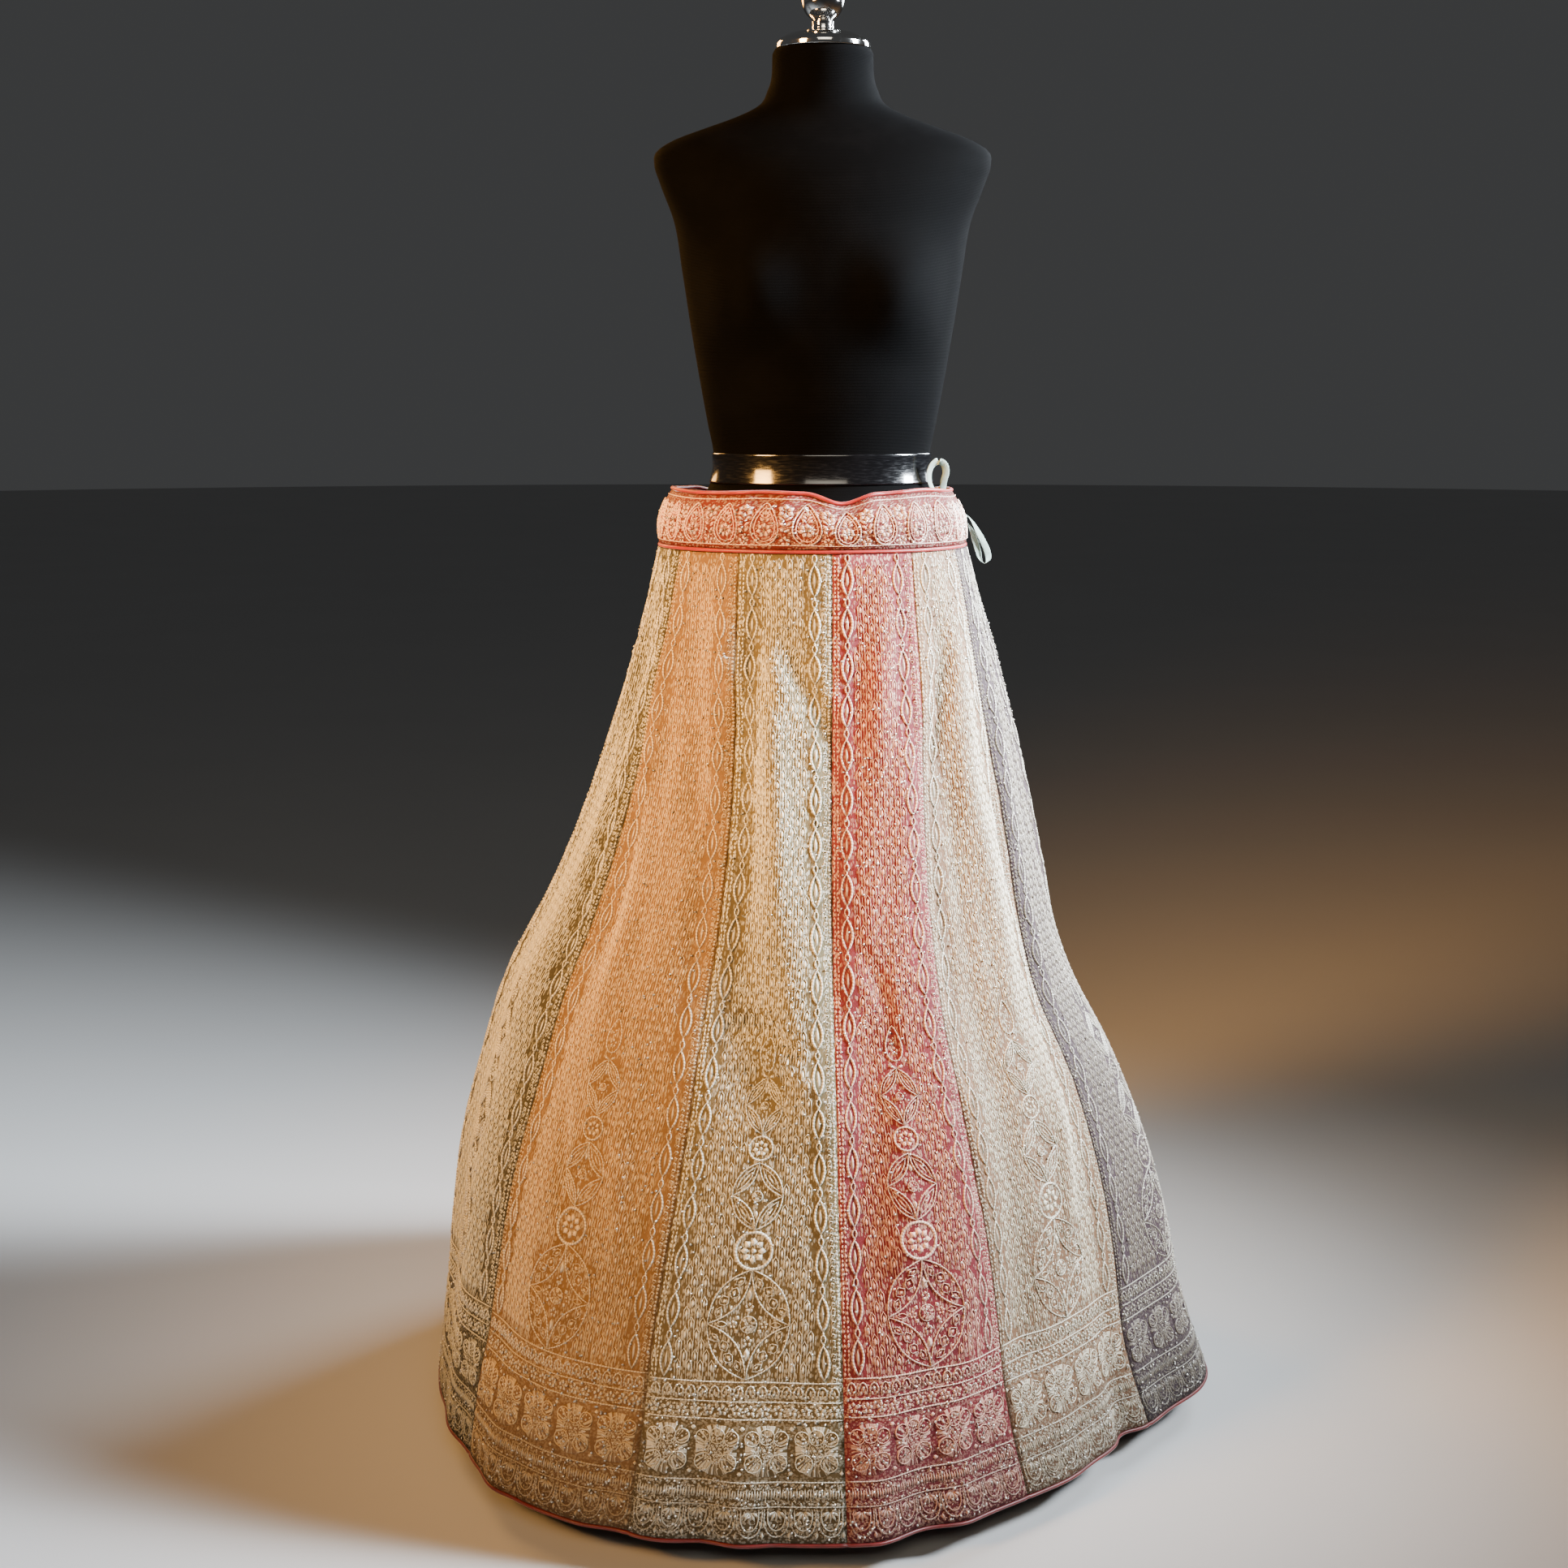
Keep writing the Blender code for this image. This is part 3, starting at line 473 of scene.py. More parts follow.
BORDER_TOP = 0.163  # height above the hem, along the cloth
CHAINS = (0.0165, 0.0200)  # how far the side chains run from a panel's left and right seam
CHAIN_CLEAR = 0.0070  # half width of the bare strip that a chain runs in
CHAIN_EDGE = 0.001  # how softly that strip ends
FILL_CLEAR = 0.0102  # from a chain's line to the first column of filling
LINK_START = 0.42  # share of a link's length that the first one stands above the border
ARCH_START = 0.0175  # from the border to the first row of arches
ARCH_BELOW = 0.016  # how far an arch reaches below its place
ARCH_ABOVE = 0.006  # and above it
ARCH_OVERLAP = 0.004  # how far its legs may reach into the border
ARCH_DROP = 0.0048  # how far its middle lies below its place
ARCH_MARGIN_ACROSS = 0.0025  # kept free beside a figure
ARCH_MARGIN_ALONG = 0.0075  # kept free above and below a figure
SIDE_MARGIN_BELOW = 0.004  # left free at the lower end of the side stitches
SIDE_MARGIN_ABOVE = 0.003  # and at their upper end
STRAY_ALONG = 0.0006  # how far a stitch strays along its row by hand
STRAY_ACROSS = 0.0004  # and across it
STRAY_SIZE = 0.15  # as a share of its size
STRAY_TURN = 0.15  # radians
LEAF_BUDS = 4
BLOCK_SIDES = 36
BLOCK_GAP = 0.0038
BLOCK_HALF_HEIGHT = 0.0262
LINE_HEIGHT = 0.0013
LINE_END = 0.0012  # from a border line's end to the seam
LINE_POINTS = 44
BAND_LINE_END = 0.003
BAND_LINE_POINTS = 240

# Lines of cord across a panel: height above the hem and thickness.
BORDER_LINES = (
    (BORDER_TOP, 0.0019),
    (0.1430, 0.0015),
    (0.1250, 0.0019),
    (0.0615, 0.0019),
    (0.0365, 0.0015),
)

BORDER_MARGIN = 0.003  # left free at both ends of a border row
HEM_DASHES = 440
HEM_DASH_HEIGHTS = (0.003, 0.060)
HEM_DASH_SIZES = (0.7, 1.2)
BAND_DASHES = 1700
BAND_DASH_HEIGHTS = (0.007, 0.050)
BAND_SEQUINS = 420
BAND_SEQUIN_HEIGHTS = (0.006, 0.050)
DASH_MARGIN = 0.008  # width left free of loose stitches, both sides together
SEQUIN_MARGIN = 0.006  # and of a panel's sequins
SEQUIN_EDGE = 0.004  # and from the sequins to a panel's hem and upper edge
SEQUIN_SIDES = 5
SEQUIN_LIFT = 0.0015  # from the cloth to a sequin's rim
SEQUIN_DOME = 0.00022  # half its thickness
NEAR_HEM_SHARE = 0.46  # share of a panel's sequins that lie in its border
DROP_PITCH = 0.0398  # from one drop of the waistband to the next
DROP_HEIGHT = 0.0285  # a drop's middle above the band's lower edge
PANEL_SEED = 1000
BAND_SEED = 77

# What the cloth's own fine stitches do, by the height above the hem in metres.
BORDER_EDGE = (0.158, 0.164)  # short stitches give way to long ones
BLOCKS_START = (0.062, 0.065)
BLOCKS_END = (0.119, 0.123)
FIELD_COVER = 0.74  # how much of the ground the fine stitches hide
BLOCK_BARE = 0.68  # how much less of it between the blocks
LEAST_COVER = 0.30
CORD_OWN = 0.30  # share of the cord's own colour; the rest is the filling's
HEM_SHADE_HEIGHT = 0.17  # up to here painted shade darkens the work, down to this share at the floor
HEM_SHADE_SHARE = 0.22
PER_MM = (1000.0, 1000.0, 1.0)

LENS = 50.12  # millimetres
SENSOR = 36.0  # millimetres
CAMERA_DIP = 10.35  # degrees below the level
CAMERA_REACH = 60.0
LAMP_SPREAD = 62.0  # degrees
AIR_STRENGTH = 0.10
FLOOR_RADIUS = 25.0
FLOOR_DROP = 0.0005  # keeps the floor clear of the base


# ------------------------------ working out the surfaces
def smooth_table(rows, x, column):
    """The table's column at x: a cubic through the rows whose slopes are those of the neighbouring rows."""
    table = np.asarray(rows, dtype=float)
    xs, ys = table[:, 0], table[:, column]
    slope = np.gradient(ys, xs)
    x = np.clip(x, xs[0], xs[-1])
    i = np.clip(np.searchsorted(xs, x, side="right") - 1, 0, len(xs) - 2)
    width = xs[i + 1] - xs[i]
    u = (x - xs[i]) / width
    return ((1 + 2 * u) * (1 - u) ** 2 * ys[i] + u * (1 - u) ** 2 * width * slope[i]
            + u * u * (3 - 2 * u) * ys[i + 1] + u * u * (u - 1) * width * slope[i + 1])


def bump(offset, half_width):
    """A round bump, 1 at its middle and 0 past its half width: the square of a quarter cosine."""
    inside = np.clip(np.abs(offset) / half_width, 0.0, 1.0)
    return np.cos(inside * math.pi / 2) ** 2


def ramp(x, start, end):
    """A soft step from 0 to 1: 3u^2 - 2u^3."""
    u = np.clip((x - start) / (end - start), 0.0, 1.0)
    return u * u * (3 - 2 * u)


def power(value, to):
    """The value's size raised to a power, with its sign kept: it squares a circle off."""
    return np.sign(value) * np.abs(value) ** to


def turned_angle(angle):
    """An angle in degrees brought into -180 to 180."""
    return (angle + 180.0) % 360.0 - 180.0


def oval(angle, right, left, front, back):
    """Points of a ring with its own reach on each of four sides: quarter ellipses that join smoothly."""
    a = np.radians(angle)
    x = np.where(np.sin(a) >= 0, right, left) * np.sin(a)
    y = -np.where(np.cos(a) >= 0, front, back) * np.cos(a)
    return x, y


def hung_angle(angle, down):
    """Where a line of the cut hangs: it drifts by the table's amount times sin cos |cos| over its peak."""
    a = np.radians(angle)
    share = np.sin(a) * np.cos(a) * np.abs(np.cos(a)) / DRIFT_PEAK
    return angle - smooth_table(SEAM_DRIFT, down, 1) * share


def fold_height(angle, down):
    """The sum of the folds: each is its height, times how far it has grown, times a bump across it."""
    height = np.zeros_like(down)
    for waist, hem, half_width, rise, starts, full, ends in FOLDS:
        centre = waist + (hem - waist) * down
        grown = ramp(down, starts, full) * (1.0 - ramp(down, ends - FOLD_FADE, ends))
        height += rise * grown * bump(turned_angle(angle - centre), half_width)
    return height


def crease_height(angle, down, reach):
    """The sum of the creases: a bump of the distance from each one's line, faded towards its two ends.

    Places are compared in metres: reach times the angle one way, and the way down times the drop the other.
    """
    height = np.zeros_like(down)
    drop = SKIRT_TOP - SKIRT_HEM
    for half_width, rise, line in CREASES:
        nearest, along, start = np.full_like(down, 9.0), np.zeros_like(down), 0.0
        for (angle_0, down_0), (angle_1, down_1) in zip(line[:-1], line[1:]):
            x = np.radians(turned_angle(angle - angle_0)) * reach
            y = (down - down_0) * drop
            run = np.radians(turned_angle(angle_1 - angle_0)) * reach
            fall = (down_1 - down_0) * drop
            held = np.clip((x * run + y * fall) / (run * run + fall * fall), 0.0, 1.0)
            distance = np.hypot(x - held * run, y - held * fall)
            closer = distance < nearest
            nearest = np.where(closer, distance, nearest)
            stretch = math.hypot(math.radians(angle_1 - angle_0) * CREASE_REACH, fall)
            along = np.where(closer, start + held * stretch, along)
            start += stretch
        share = along / start
        faded = ramp(share, 0.0, CREASE_ENDS) * ramp(1.0 - share, 0.0, CREASE_ENDS)
        height += rise * (CREASE_LEAST + (1.0 - CREASE_LEAST) * faded) * bump(nearest, half_width)
    return height


def unevenness(angle, down):
    """Slight waviness of hung cloth: three long sine waves that lean across each other."""
    a = np.radians(angle)
    return WAVINESS * (np.sin(9 * a + 14 * down) + 0.7 * np.sin(17 * a - 23 * down + 1.0)
                       + 0.6 * np.sin(31 * a + 9 * down + 2.0)) * ramp(down, 0.0, WAVINESS_FULL)


def draped(angle, down, deep=1.0):
    """The skirt's outer face: the ring at each height plus folds, creases, waviness and seam dips."""
    angle, down = np.broadcast_arrays(angle, down)
    hung = hung_angle(angle, down)
    right, left, front, back = (smooth_table(SECTIONS, down, column) for column in (1, 2, 3, 4))
    x, y = oval(hung, right, left, front, back)
    reach = np.hypot(x, y)
    from_seam = (angle - FIRST_SEAM + PANEL_ANGLE / 2) % PANEL_ANGLE - PANEL_ANGLE / 2
    dip = SEAM_DIP * bump(np.radians(from_seam) * reach, SEAM_DIP_WIDTH)
    height = (fold_height(hung, down) + deep * crease_height(hung, down, reach)
              + unevenness(hung, down) - dip)
    x = x + height * np.sin(np.radians(hung))
    y = y - height * np.cos(np.radians(hung))
    z = SKIRT_TOP + (SKIRT_HEM - SKIRT_TOP) * down
    return np.stack([x, y, z], axis=-1)


def waistband(angle, up):
    """The waistband's outer face: up is 0 at its lower edge and 1 at its waved upper edge."""
    angle, up = np.broadcast_arrays(angle, up)
    inset = smooth_table(BAND_SECTIONS, up, 1)
    right, left, front, back = SECTIONS[0][1:]
    x, y = oval(angle, right - inset, left - inset, front - inset, back - inset)
    fold = sum(height * bump(turned_angle(angle - at), half_width) for at, half_width, height in BAND_FOLDS)
    fold = fold * ramp(up, 0.0, BAND_FOLDS_FULL)
    x, y = x + fold * np.sin(np.radians(angle)), y - fold * np.cos(np.radians(angle))
    wave = sum(rise * bump(turned_angle(angle - at), half_width) for at, half_width, rise in BAND_WAVES)
    z = BAND_BOTTOM + BAND_HEIGHT * up + wave * up
    return np.stack([x, y, z], axis=-1)


def torso(angle, height, out=0.0):
    """The dress form's surface, or a ring that far outside it."""
    angle, height = np.broadcast_arrays(angle, height)
    side, front, back = (smooth_table(TORSO, height, column) + out for column in (1, 2, 3))
    x, y = oval(angle, side, side, front, back)
    sides = sum(bump(turned_angle(angle - middle), BUST_SPREAD) for middle in (-BUST_ANGLE, BUST_ANGLE))
    mound = sides * bump(height - BUST_HEIGHT, BUST_HALF_HEIGHT)
    return np.stack([x, y - BUST_REACH * mound, height], axis=-1)


def unit(vectors):
    """The vectors brought to a length of 1."""
    return vectors / np.linalg.norm(vectors, axis=-1, keepdims=True)


def run_along(path):
    """How far along a path each of its points lies, in metres."""
    return np.concatenate([[0.0], np.cumsum(np.linalg.norm(np.diff(path, axis=0), axis=1))])


def smooth_route(route, count):
    """Evenly spaced points on a smooth curve through a route's, and the way the width points at each."""
    route = np.asarray(route, dtype=float)
    steps = run_along(route[:, :3])
    rows = np.column_stack([steps, route])
    fine = np.linspace(0.0, steps[-1], 20 * count)
    curve = np.column_stack([smooth_table(rows, fine, column) for column in (1, 2, 3, 4)])
    along = run_along(curve[:, :3])
    at = np.linspace(0.0, along[-1], count)
    spaced = np.column_stack([np.interp(at, along, curve[:, k]) for k in range(4)])
    return spaced[:, :3], spaced[:, 3]


def band_angles(count):
    """Evenly spaced angles round the waistband, from one end of the side opening to the other."""
    trim = math.degrees(0.5 * OPENING_WIDTH / SECTIONS[0][3])
    return np.linspace(SIDE_OPENING + trim, SIDE_OPENING + 360.0 - trim, count)


def even_rows(surface, start, end, downs, columns):
    """A grid whose columns share each row out evenly by length, from one angle to another.

    Each row's length is summed over fine steps, and the angles at even shares of it are read back.
    """
    fine = np.linspace(start, end, columns * FINE + 1)[None, :]
    rows = np.asarray(downs)[:, None]
    steps = np.linalg.norm(np.diff(surface(fine, rows), axis=1), axis=2)
    share = np.concatenate([np.zeros((len(rows), 1)), np.cumsum(steps, axis=1)], axis=1)
    share /= share[:, -1:]
    order = 2.0 * np.arange(len(rows))[:, None]
    wanted = np.linspace(0.0, 1.0, columns + 1)[None, :] + order
    angles = np.interp(wanted.ravel(), (share + order).ravel(), np.broadcast_to(fine, share.shape).ravel())
    return surface(angles.reshape(wanted.shape), rows)


# ------------------------------ meshes
def make_mesh(name, points, quads, tris=(), uvs=None, finishes=None, smooth=True):
    """A mesh object from whole arrays: points, four- and three-cornered faces, and a UV pair per point."""
    quads = np.asarray(quads, dtype=np.int32).reshape(-1, 4)
    tris = np.asarray(tris, dtype=np.int32).reshape(-1, 3)
    corners = np.concatenate([quads.ravel(), tris.ravel()])
    sizes = np.concatenate([np.full(len(quads), 4), np.full(len(tris), 3)])
    mesh = bpy.data.meshes.new(name)
    mesh.vertices.add(len(points))
    mesh.vertices.foreach_set("co", np.asarray(points, dtype=np.float32).ravel())
    mesh.loops.add(len(corners))
    mesh.loops.foreach_set("vertex_index", corners)
    mesh.polygons.add(len(sizes))
    starts = np.concatenate([[0], np.cumsum(sizes)[:-1]]).astype(np.int32)
    mesh.polygons.foreach_set("loop_start", starts)
    if finishes is not None:
        mesh.polygons.foreach_set("material_index", np.asarray(finishes, dtype=np.int32))
    if uvs is not None:
        layer = mesh.uv_layers.new(name="UVMap")
        layer.uv.foreach_set("vector", np.asarray(uvs, dtype=np.float32)[corners].ravel())
    mesh.update(calc_edges=True)
    if smooth:
        mesh.shade_smooth()
    obj = bpy.data.objects.new(name, mesh)
    bpy.context.scene.collection.objects.link(obj)
    return obj


def finish_piece(obj, materials, slot, *nodes):
    """Gives a piece its materials, its record slot, its body and the solids that it stands for."""
    for material in materials:
        obj.data.materials.append(material)
    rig.slot(obj, slot)
    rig.ride(obj, BODY)
    if nodes:
        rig.replaces(obj, *nodes)
    return obj


def circle(count, turn=2 * math.pi):
    """Even angles round a whole turn, in radians unless the turn is given in degrees."""
    return np.linspace(0.0, turn, count, endpoint=False)


def grid_faces(rows, columns, closed=False, looped=False):
    """Faces of a grid of points, rows upwards and columns to the right seen from outside.

    The last column of a closed grid meets its first, and so does the last row of a looped one.
    """
    index = np.arange(rows * columns).reshape(rows, columns)
    if looped:
        index = np.concatenate([index, index[:1]])
    if closed:
        index = np.concatenate([index, index[:, :1]], axis=1)
    return np.stack([index[:-1, :-1], index[:-1, 1:], index[1:, 1:], index[1:, :-1]], axis=-1).reshape(-1, 4)


def fan(middle, ring, flip=False):
    """Triangles from each side of a ring to a middle point, in the ring's sense or against it."""
    ahead = np.roll(ring, -1)
    sides = (ahead, ring) if flip else (ring, ahead)
    return np.stack([*sides, np.full(len(ring), middle)], axis=-1)


def capped_rings(name, rings, bottom, top, sharp=40.0):
    """A closed skin through rings of points, from the bottom up, with a fan to a middle at each end."""
    rows, columns = rings.shape[:2]
    ring, count = np.arange(columns), rows * columns
    tris = np.concatenate([fan(count, ring, flip=True), fan(count + 1, count - columns + ring)])
    points = np.concatenate([rings.reshape(-1, 3), [bottom, top]])
    obj = make_mesh(name, points, grid_faces(rows, columns, closed=True), tris)
    obj.data.set_sharp_from_angle(angle=math.radians(sharp))
    return obj


def turned(name, profile):
    """A profile of radius and height, from the bottom up and closed on the axis, turned about Z."""
    profile = np.asarray(profile, dtype=float)
    a = circle(ROUND_SIDES)[None, :]
    radius, height = profile[1:-1, 0][:, None], profile[1:-1, 1][:, None]
    rings = np.stack(np.broadcast_arrays(radius * np.sin(a), -radius * np.cos(a), height), axis=-1)
    return capped_rings(name, rings, (0.0, 0.0, profile[0, 1]), (0.0, 0.0, profile[-1, 1]))


def rounded_profile(profile, radius, steps=4):
    """The same profile with a small curve for each inner corner: a quadratic through its two sides."""
    points = [np.asarray(point, dtype=float) for point in profile]
    made = [points[0]]
    for before, corner, after in zip(points, points[1:], points[2:]):
        start, end = (corner + (other - corner) / np.linalg.norm(other - corner)
                      * min(radius, 0.45 * np.linalg.norm(other - corner)) for other in (before, after))
        for u in np.linspace(0.0, 1.0, steps):
            made.append((1 - u) ** 2 * start + 2 * u * (1 - u) * corner + u * u * end)
    made.append(points[-1])
    return made


def way_ahead(path, closed):
    """The direction and step at each point of a path, from the point before to the one after."""
    return np.roll(path, -1, axis=0) - np.roll(path, 1, axis=0) if closed else np.gradient(path, axis=0)


def swept(name, path, across, width, thickness, sides, closed=False):
    """An oval section carried along a path; across gives the direction of its width at each point."""
    ahead = unit(way_ahead(path, closed))
    across = unit(across - ahead * np.sum(across * ahead, axis=1, keepdims=True))
    out = np.cross(ahead, across)
    a = circle(sides)
    rings = (path[:, None] + across[:, None] * (width / 2 * np.cos(a))[None, :, None]
             + out[:, None] * (thickness / 2 * np.sin(a))[None, :, None])
    points, tris = rings.reshape(-1, 3), ()
    if not closed:
        ring, count = np.arange(sides), len(points)
        tris = np.concatenate([fan(count, ring, flip=True), fan(count + 1, count - sides + ring)])
        points = np.concatenate([points, path[:1], path[-1:]])
    uvs = np.stack(np.broadcast_arrays(run_along(path)[:, None], np.arange(sides)[None, :] / sides), axis=-1)
    uvs = np.concatenate([uvs.reshape(-1, 2), np.zeros((len(points) - len(path) * sides, 2))])
    return make_mesh(name, points, grid_faces(len(path), sides, closed=True, looped=closed), tris, uvs)


# ------------------------------ stitches
class Cloth:
    """A grid of points on hung cloth, rows upwards, with its outward directions and its sizes along it."""

    def __init__(self, grid):
        self.points = grid
        self.normals = unit(np.cross(np.gradient(grid, axis=1), np.gradient(grid, axis=0)))
        self.heights = run_along(grid[:, grid.shape[1] // 2])
        self.widths = np.linalg.norm(np.diff(grid, axis=1), axis=2).sum(axis=1)
        self.length = self.heights[-1]
        self.area = float(np.sum(0.5 * (self.widths[1:] + self.widths[:-1]) * np.diff(self.heights)))

    def width(self, up):
        """The cloth's width at a height in metres above its lower edge."""
        return np.interp(up, self.heights, self.widths)

    def at(self, share, up, lift):
        """Points at a share of the width and a height in metres, lifted outwards: bilinear in the grid."""
        rows, columns = self.points.shape[:2]
        r = np.clip(np.interp(up, self.heights, np.arange(rows)), 0.0, rows - INSIDE_LAST)
        c = np.clip(share, 0.0, 1.0) * (columns - 1)
        c = np.clip(c, 0.0, columns - INSIDE_LAST)
        i, j = r.astype(int), c.astype(int)
        u, v = (r - i)[..., None], (c - j)[..., None]
        place = np.zeros(r.shape + (3,))
        out = np.zeros(r.shape + (3,))
        for di, row_weight in ((0, 1 - u), (1, u)):
            for dj, column_weight in ((0, 1 - v), (1, v)):
                weight = row_weight * column_weight
                place += weight * self.points[i + di, j + dj]
                out += weight * self.normals[i + di, j + dj]
        return place + unit(out) * lift[..., None]


class Faces:
    """Points with their UV pairs, and faces with their finishes, gathered up a batch at a time."""

    def __init__(self):
        self.points, self.uvs, self.count = [], [], 0
        self.faces = {4: [], 3: []}
        self.finishes = {4: [], 3: []}

    def add(self, points, uvs, finish, *batches):
        """Adds points, and batches of faces that count from the first of these points."""
        for faces in batches:
            corners = faces.shape[1]
            self.faces[corners].append(self.count + faces)
            self.finishes[corners].append(np.full(len(faces), finish))
        self.points.append(points)
        self.uvs.append(uvs)
        self.count += len(points)
        return self


class Shape(Faces):
    """A small stitched shape drawn flat in metres: x to the right, y up, and its lift off the cloth."""

    def thread(self, path, width, height, closed=False, finish=0):
        """A couched thread: a low three-sided ridge along a path, drawn in at its ends."""
        path = np.asarray(path, dtype=float)
        ahead = way_ahead(path, closed)
        ahead /= np.linalg.norm(ahead, axis=1, keepdims=True) + 1e-12
        right = np.column_stack([ahead[:, 1], -ahead[:, 0]])
        half, tall = np.full(len(path), width / 2), np.full(len(path), height)
        if not closed:
            half[[0, -1]] *= 0.5
            tall[[0, -1]] *= 0.4
        low = np.full(len(path), -SINK)
        rings = np.stack([np.column_stack([path - right * half[:, None], low]),
                          np.column_stack([path, tall]),
                          np.column_stack([path + right * half[:, None], low])], axis=1)
        uvs = np.stack(np.broadcast_arrays(run_along(path)[:, None], np.array([[0.0, 0.5, 1.0]])), axis=-1)
        batches = [grid_faces(len(path), 3, closed=True, looped=closed)]
        if not closed:
            last = 3 * len(path) - 3
            batches.append(np.array([[0, 2, 1], [last + 1, last + 2, last]]))
        return self.add(rings.reshape(-1, 3), uvs.reshape(-1, 2), finish, *batches)

    def seed(self, ring, height, finish):
        """A padded stitch: a pyramid over a ring of points that runs anticlockwise, closed below."""
        n = len(ring)
        k = np.arange(1, n - 1)
        under = np.stack([np.zeros_like(k), k + 1, k], axis=-1)
        points = np.concatenate([np.column_stack([ring, np.full(n, -SINK)]), [[*ring.mean(axis=0), height]]])
        uvs = np.concatenate([ring - ring.min(axis=0), [[0.0, 0.0]]])
        return self.add(points, uvs, finish, np.concatenate([fan(n, np.arange(n)), under]))

    def leaf(self, size, place, turn, height, finish, count=2, plump=1.0):
        """A padded leaf of a length and width that grows from a place, turned from upright in degrees."""
        return self.seed(moved(leaf_path(*size, count, plump), *place, turn), height, finish)

    def pad(self, outline, height, finish):
        """A low flat-topped patch inside an outline that runs anticlockwise.

        From its lower middle, rings run out to the rim and back to its upper middle, so both faces follow
        the cloth.
        """
        n = len(outline)
        middle = outline.mean(axis=0)
        rings = [np.column_stack([middle + (outline - middle) * share, np.full(n, lift)])
                 for share, lift in ((0.60, -SINK), (1.0, -SINK), (0.95, height), (0.60, height))]
        points = np.concatenate([*rings, [[*middle, height], [*middle, -SINK]]])
        ring = np.arange(n)
        middles = np.concatenate([fan(4 * n, 3 * n + ring), fan(4 * n + 1, ring, flip=True)])
        return self.add(points, np.concatenate([outline] * 4 + [[middle]] * 2), finish,
                        grid_faces(4, n, closed=True), middles)

    def lens(self, radius, sides, lift, thickness):
        """A flat faceted disc that floats a little above the cloth, with a low point on each face."""
        a, ring = circle(sides), np.arange(sides)
        rim = np.column_stack([radius * np.cos(a), radius * np.sin(a), np.full(sides, lift)])
        points = np.concatenate([rim, [[0, 0, lift + thickness], [0, 0, lift - thickness]]])
        return self.add(points, np.zeros((sides + 2, 2)), 0,
                        np.concatenate([fan(sides, ring), fan(sides + 1, ring, flip=True)]))


class Threadwork(Faces):
    """Shapes laid on one cloth, gathered into a single mesh."""

    def __init__(self, cloth):
        super().__init__()
        self.cloth = cloth

    def lay(self, shape, share=0.5, across=0.0, up=0.0, size=1.0, turn=0.0, tilt=(0.0, 0.0)):
        """Lays a shape at each place: a line at a share of the width, metres across from it, metres up."""
        share, across, up, size, turn, tilt_x, tilt_y = (
            part.astype(float).ravel()[:, None]
            for part in np.broadcast_arrays(share, across, up, size, turn, *tilt))
        places = len(up)
        if not places:
            return
        drawn = np.concatenate(shape.points)
        x, y = drawn[:, 0][None, :] * size, drawn[:, 1][None, :] * size
        cos, sin = np.cos(turn), np.sin(turn)
        height = up + x * sin + y * cos
        along = across + x * cos - y * sin
        lift = drawn[:, 2][None, :] + tilt_x * x + tilt_y * y
        placed = self.cloth.at(share + along / self.cloth.width(height), height, lift)
        offsets = self.count + np.arange(places)[:, None, None] * len(drawn)
        for corners, batches in shape.faces.items():
            if batches:
                self.faces[corners].append((np.concatenate(batches)[None] + offsets).reshape(-1, corners))
                self.finishes[corners].append(np.tile(np.concatenate(shape.finishes[corners]), places))
        self.points.append(placed.reshape(-1, 3))
        self.uvs.append(np.tile(np.concatenate(shape.uvs), (places, 1)))
        self.count += places * len(drawn)

    def mesh(self, name, smooth=True):
        """All that has been laid, as one mesh object."""
        quads, tris = (np.concatenate([*self.faces[n], np.zeros((0, n), int)]) for n in (4, 3))
        return make_mesh(name, np.concatenate(self.points), quads, tris, np.concatenate(self.uvs),
                         np.concatenate(self.finishes[4] + self.finishes[3]), smooth)


# ------------------------------ drawn lines
def moved(path, x=0.0, y=0.0, turn=0.0):
    """A flat path turned by an angle in degrees and then moved."""
    a = math.radians(turn)
    return np.column_stack([path[:, 0] * math.cos(a) - path[:, 1] * math.sin(a),
                            path[:, 0] * math.sin(a) + path[:, 1] * math.cos(a)]) + (x, y)


def ring_path(radius, count, height=None):
    """A circle, or an oval with its own height, anticlockwise."""
    a = circle(count)
    return np.column_stack([radius * np.cos(a), (height or radius) * np.sin(a)])


def arc_path(radius, start, end, count, height=None):
    """Part of a circle or oval, between two angles in degrees."""
    a = np.radians(np.linspace(start, end, count))
    return np.column_stack([radius * np.cos(a), (height or radius) * np.sin(a)])


def leaf_path(length, width, count=6, plump=1.0):
    """A pointed oval from the origin upwards, anticlockwise, as wide as the sine of the way up."""
    t = np.linspace(0.0, 1.0, count + 1)
    side = width / 2 * np.sin(math.pi * t) ** plump
    right = np.column_stack([side, t * length])
    left = np.column_stack([-side, t * length])[1:-1][::-1]
    return np.concatenate([right, left])


def drop_path(length, width, count):
    """A teardrop, point up, anticlockwise: an oval whose sides draw in as the square of the way up."""
    a = np.linspace(-math.pi / 2, 1.5 * math.pi, count, endpoint=False)
    y = 0.5 * (1 + np.sin(a))
    x = np.cos(a) * (1 - 0.62 * y ** 2)
    return np.column_stack([width / 2 * x, y * length])


def petal_ring(shape, petals, reach, inner, width, height, finish, x=0.0, y=0.0):
    """A flower of padded petals round a middle."""
    petal = moved(leaf_path(reach - inner, width, 2, 0.7), 0.0, inner)
    for k in range(petals):
        shape.seed(moved(petal, x, y, 360.0 * k / petals), height, finish)


# ------------------------------ embroidered shapes
FILL_THREAD, CORD, BEAD, PATCH = 0, 1, 2, 3  # material slots of a piece of threadwork
SIDES = (-1, 1)


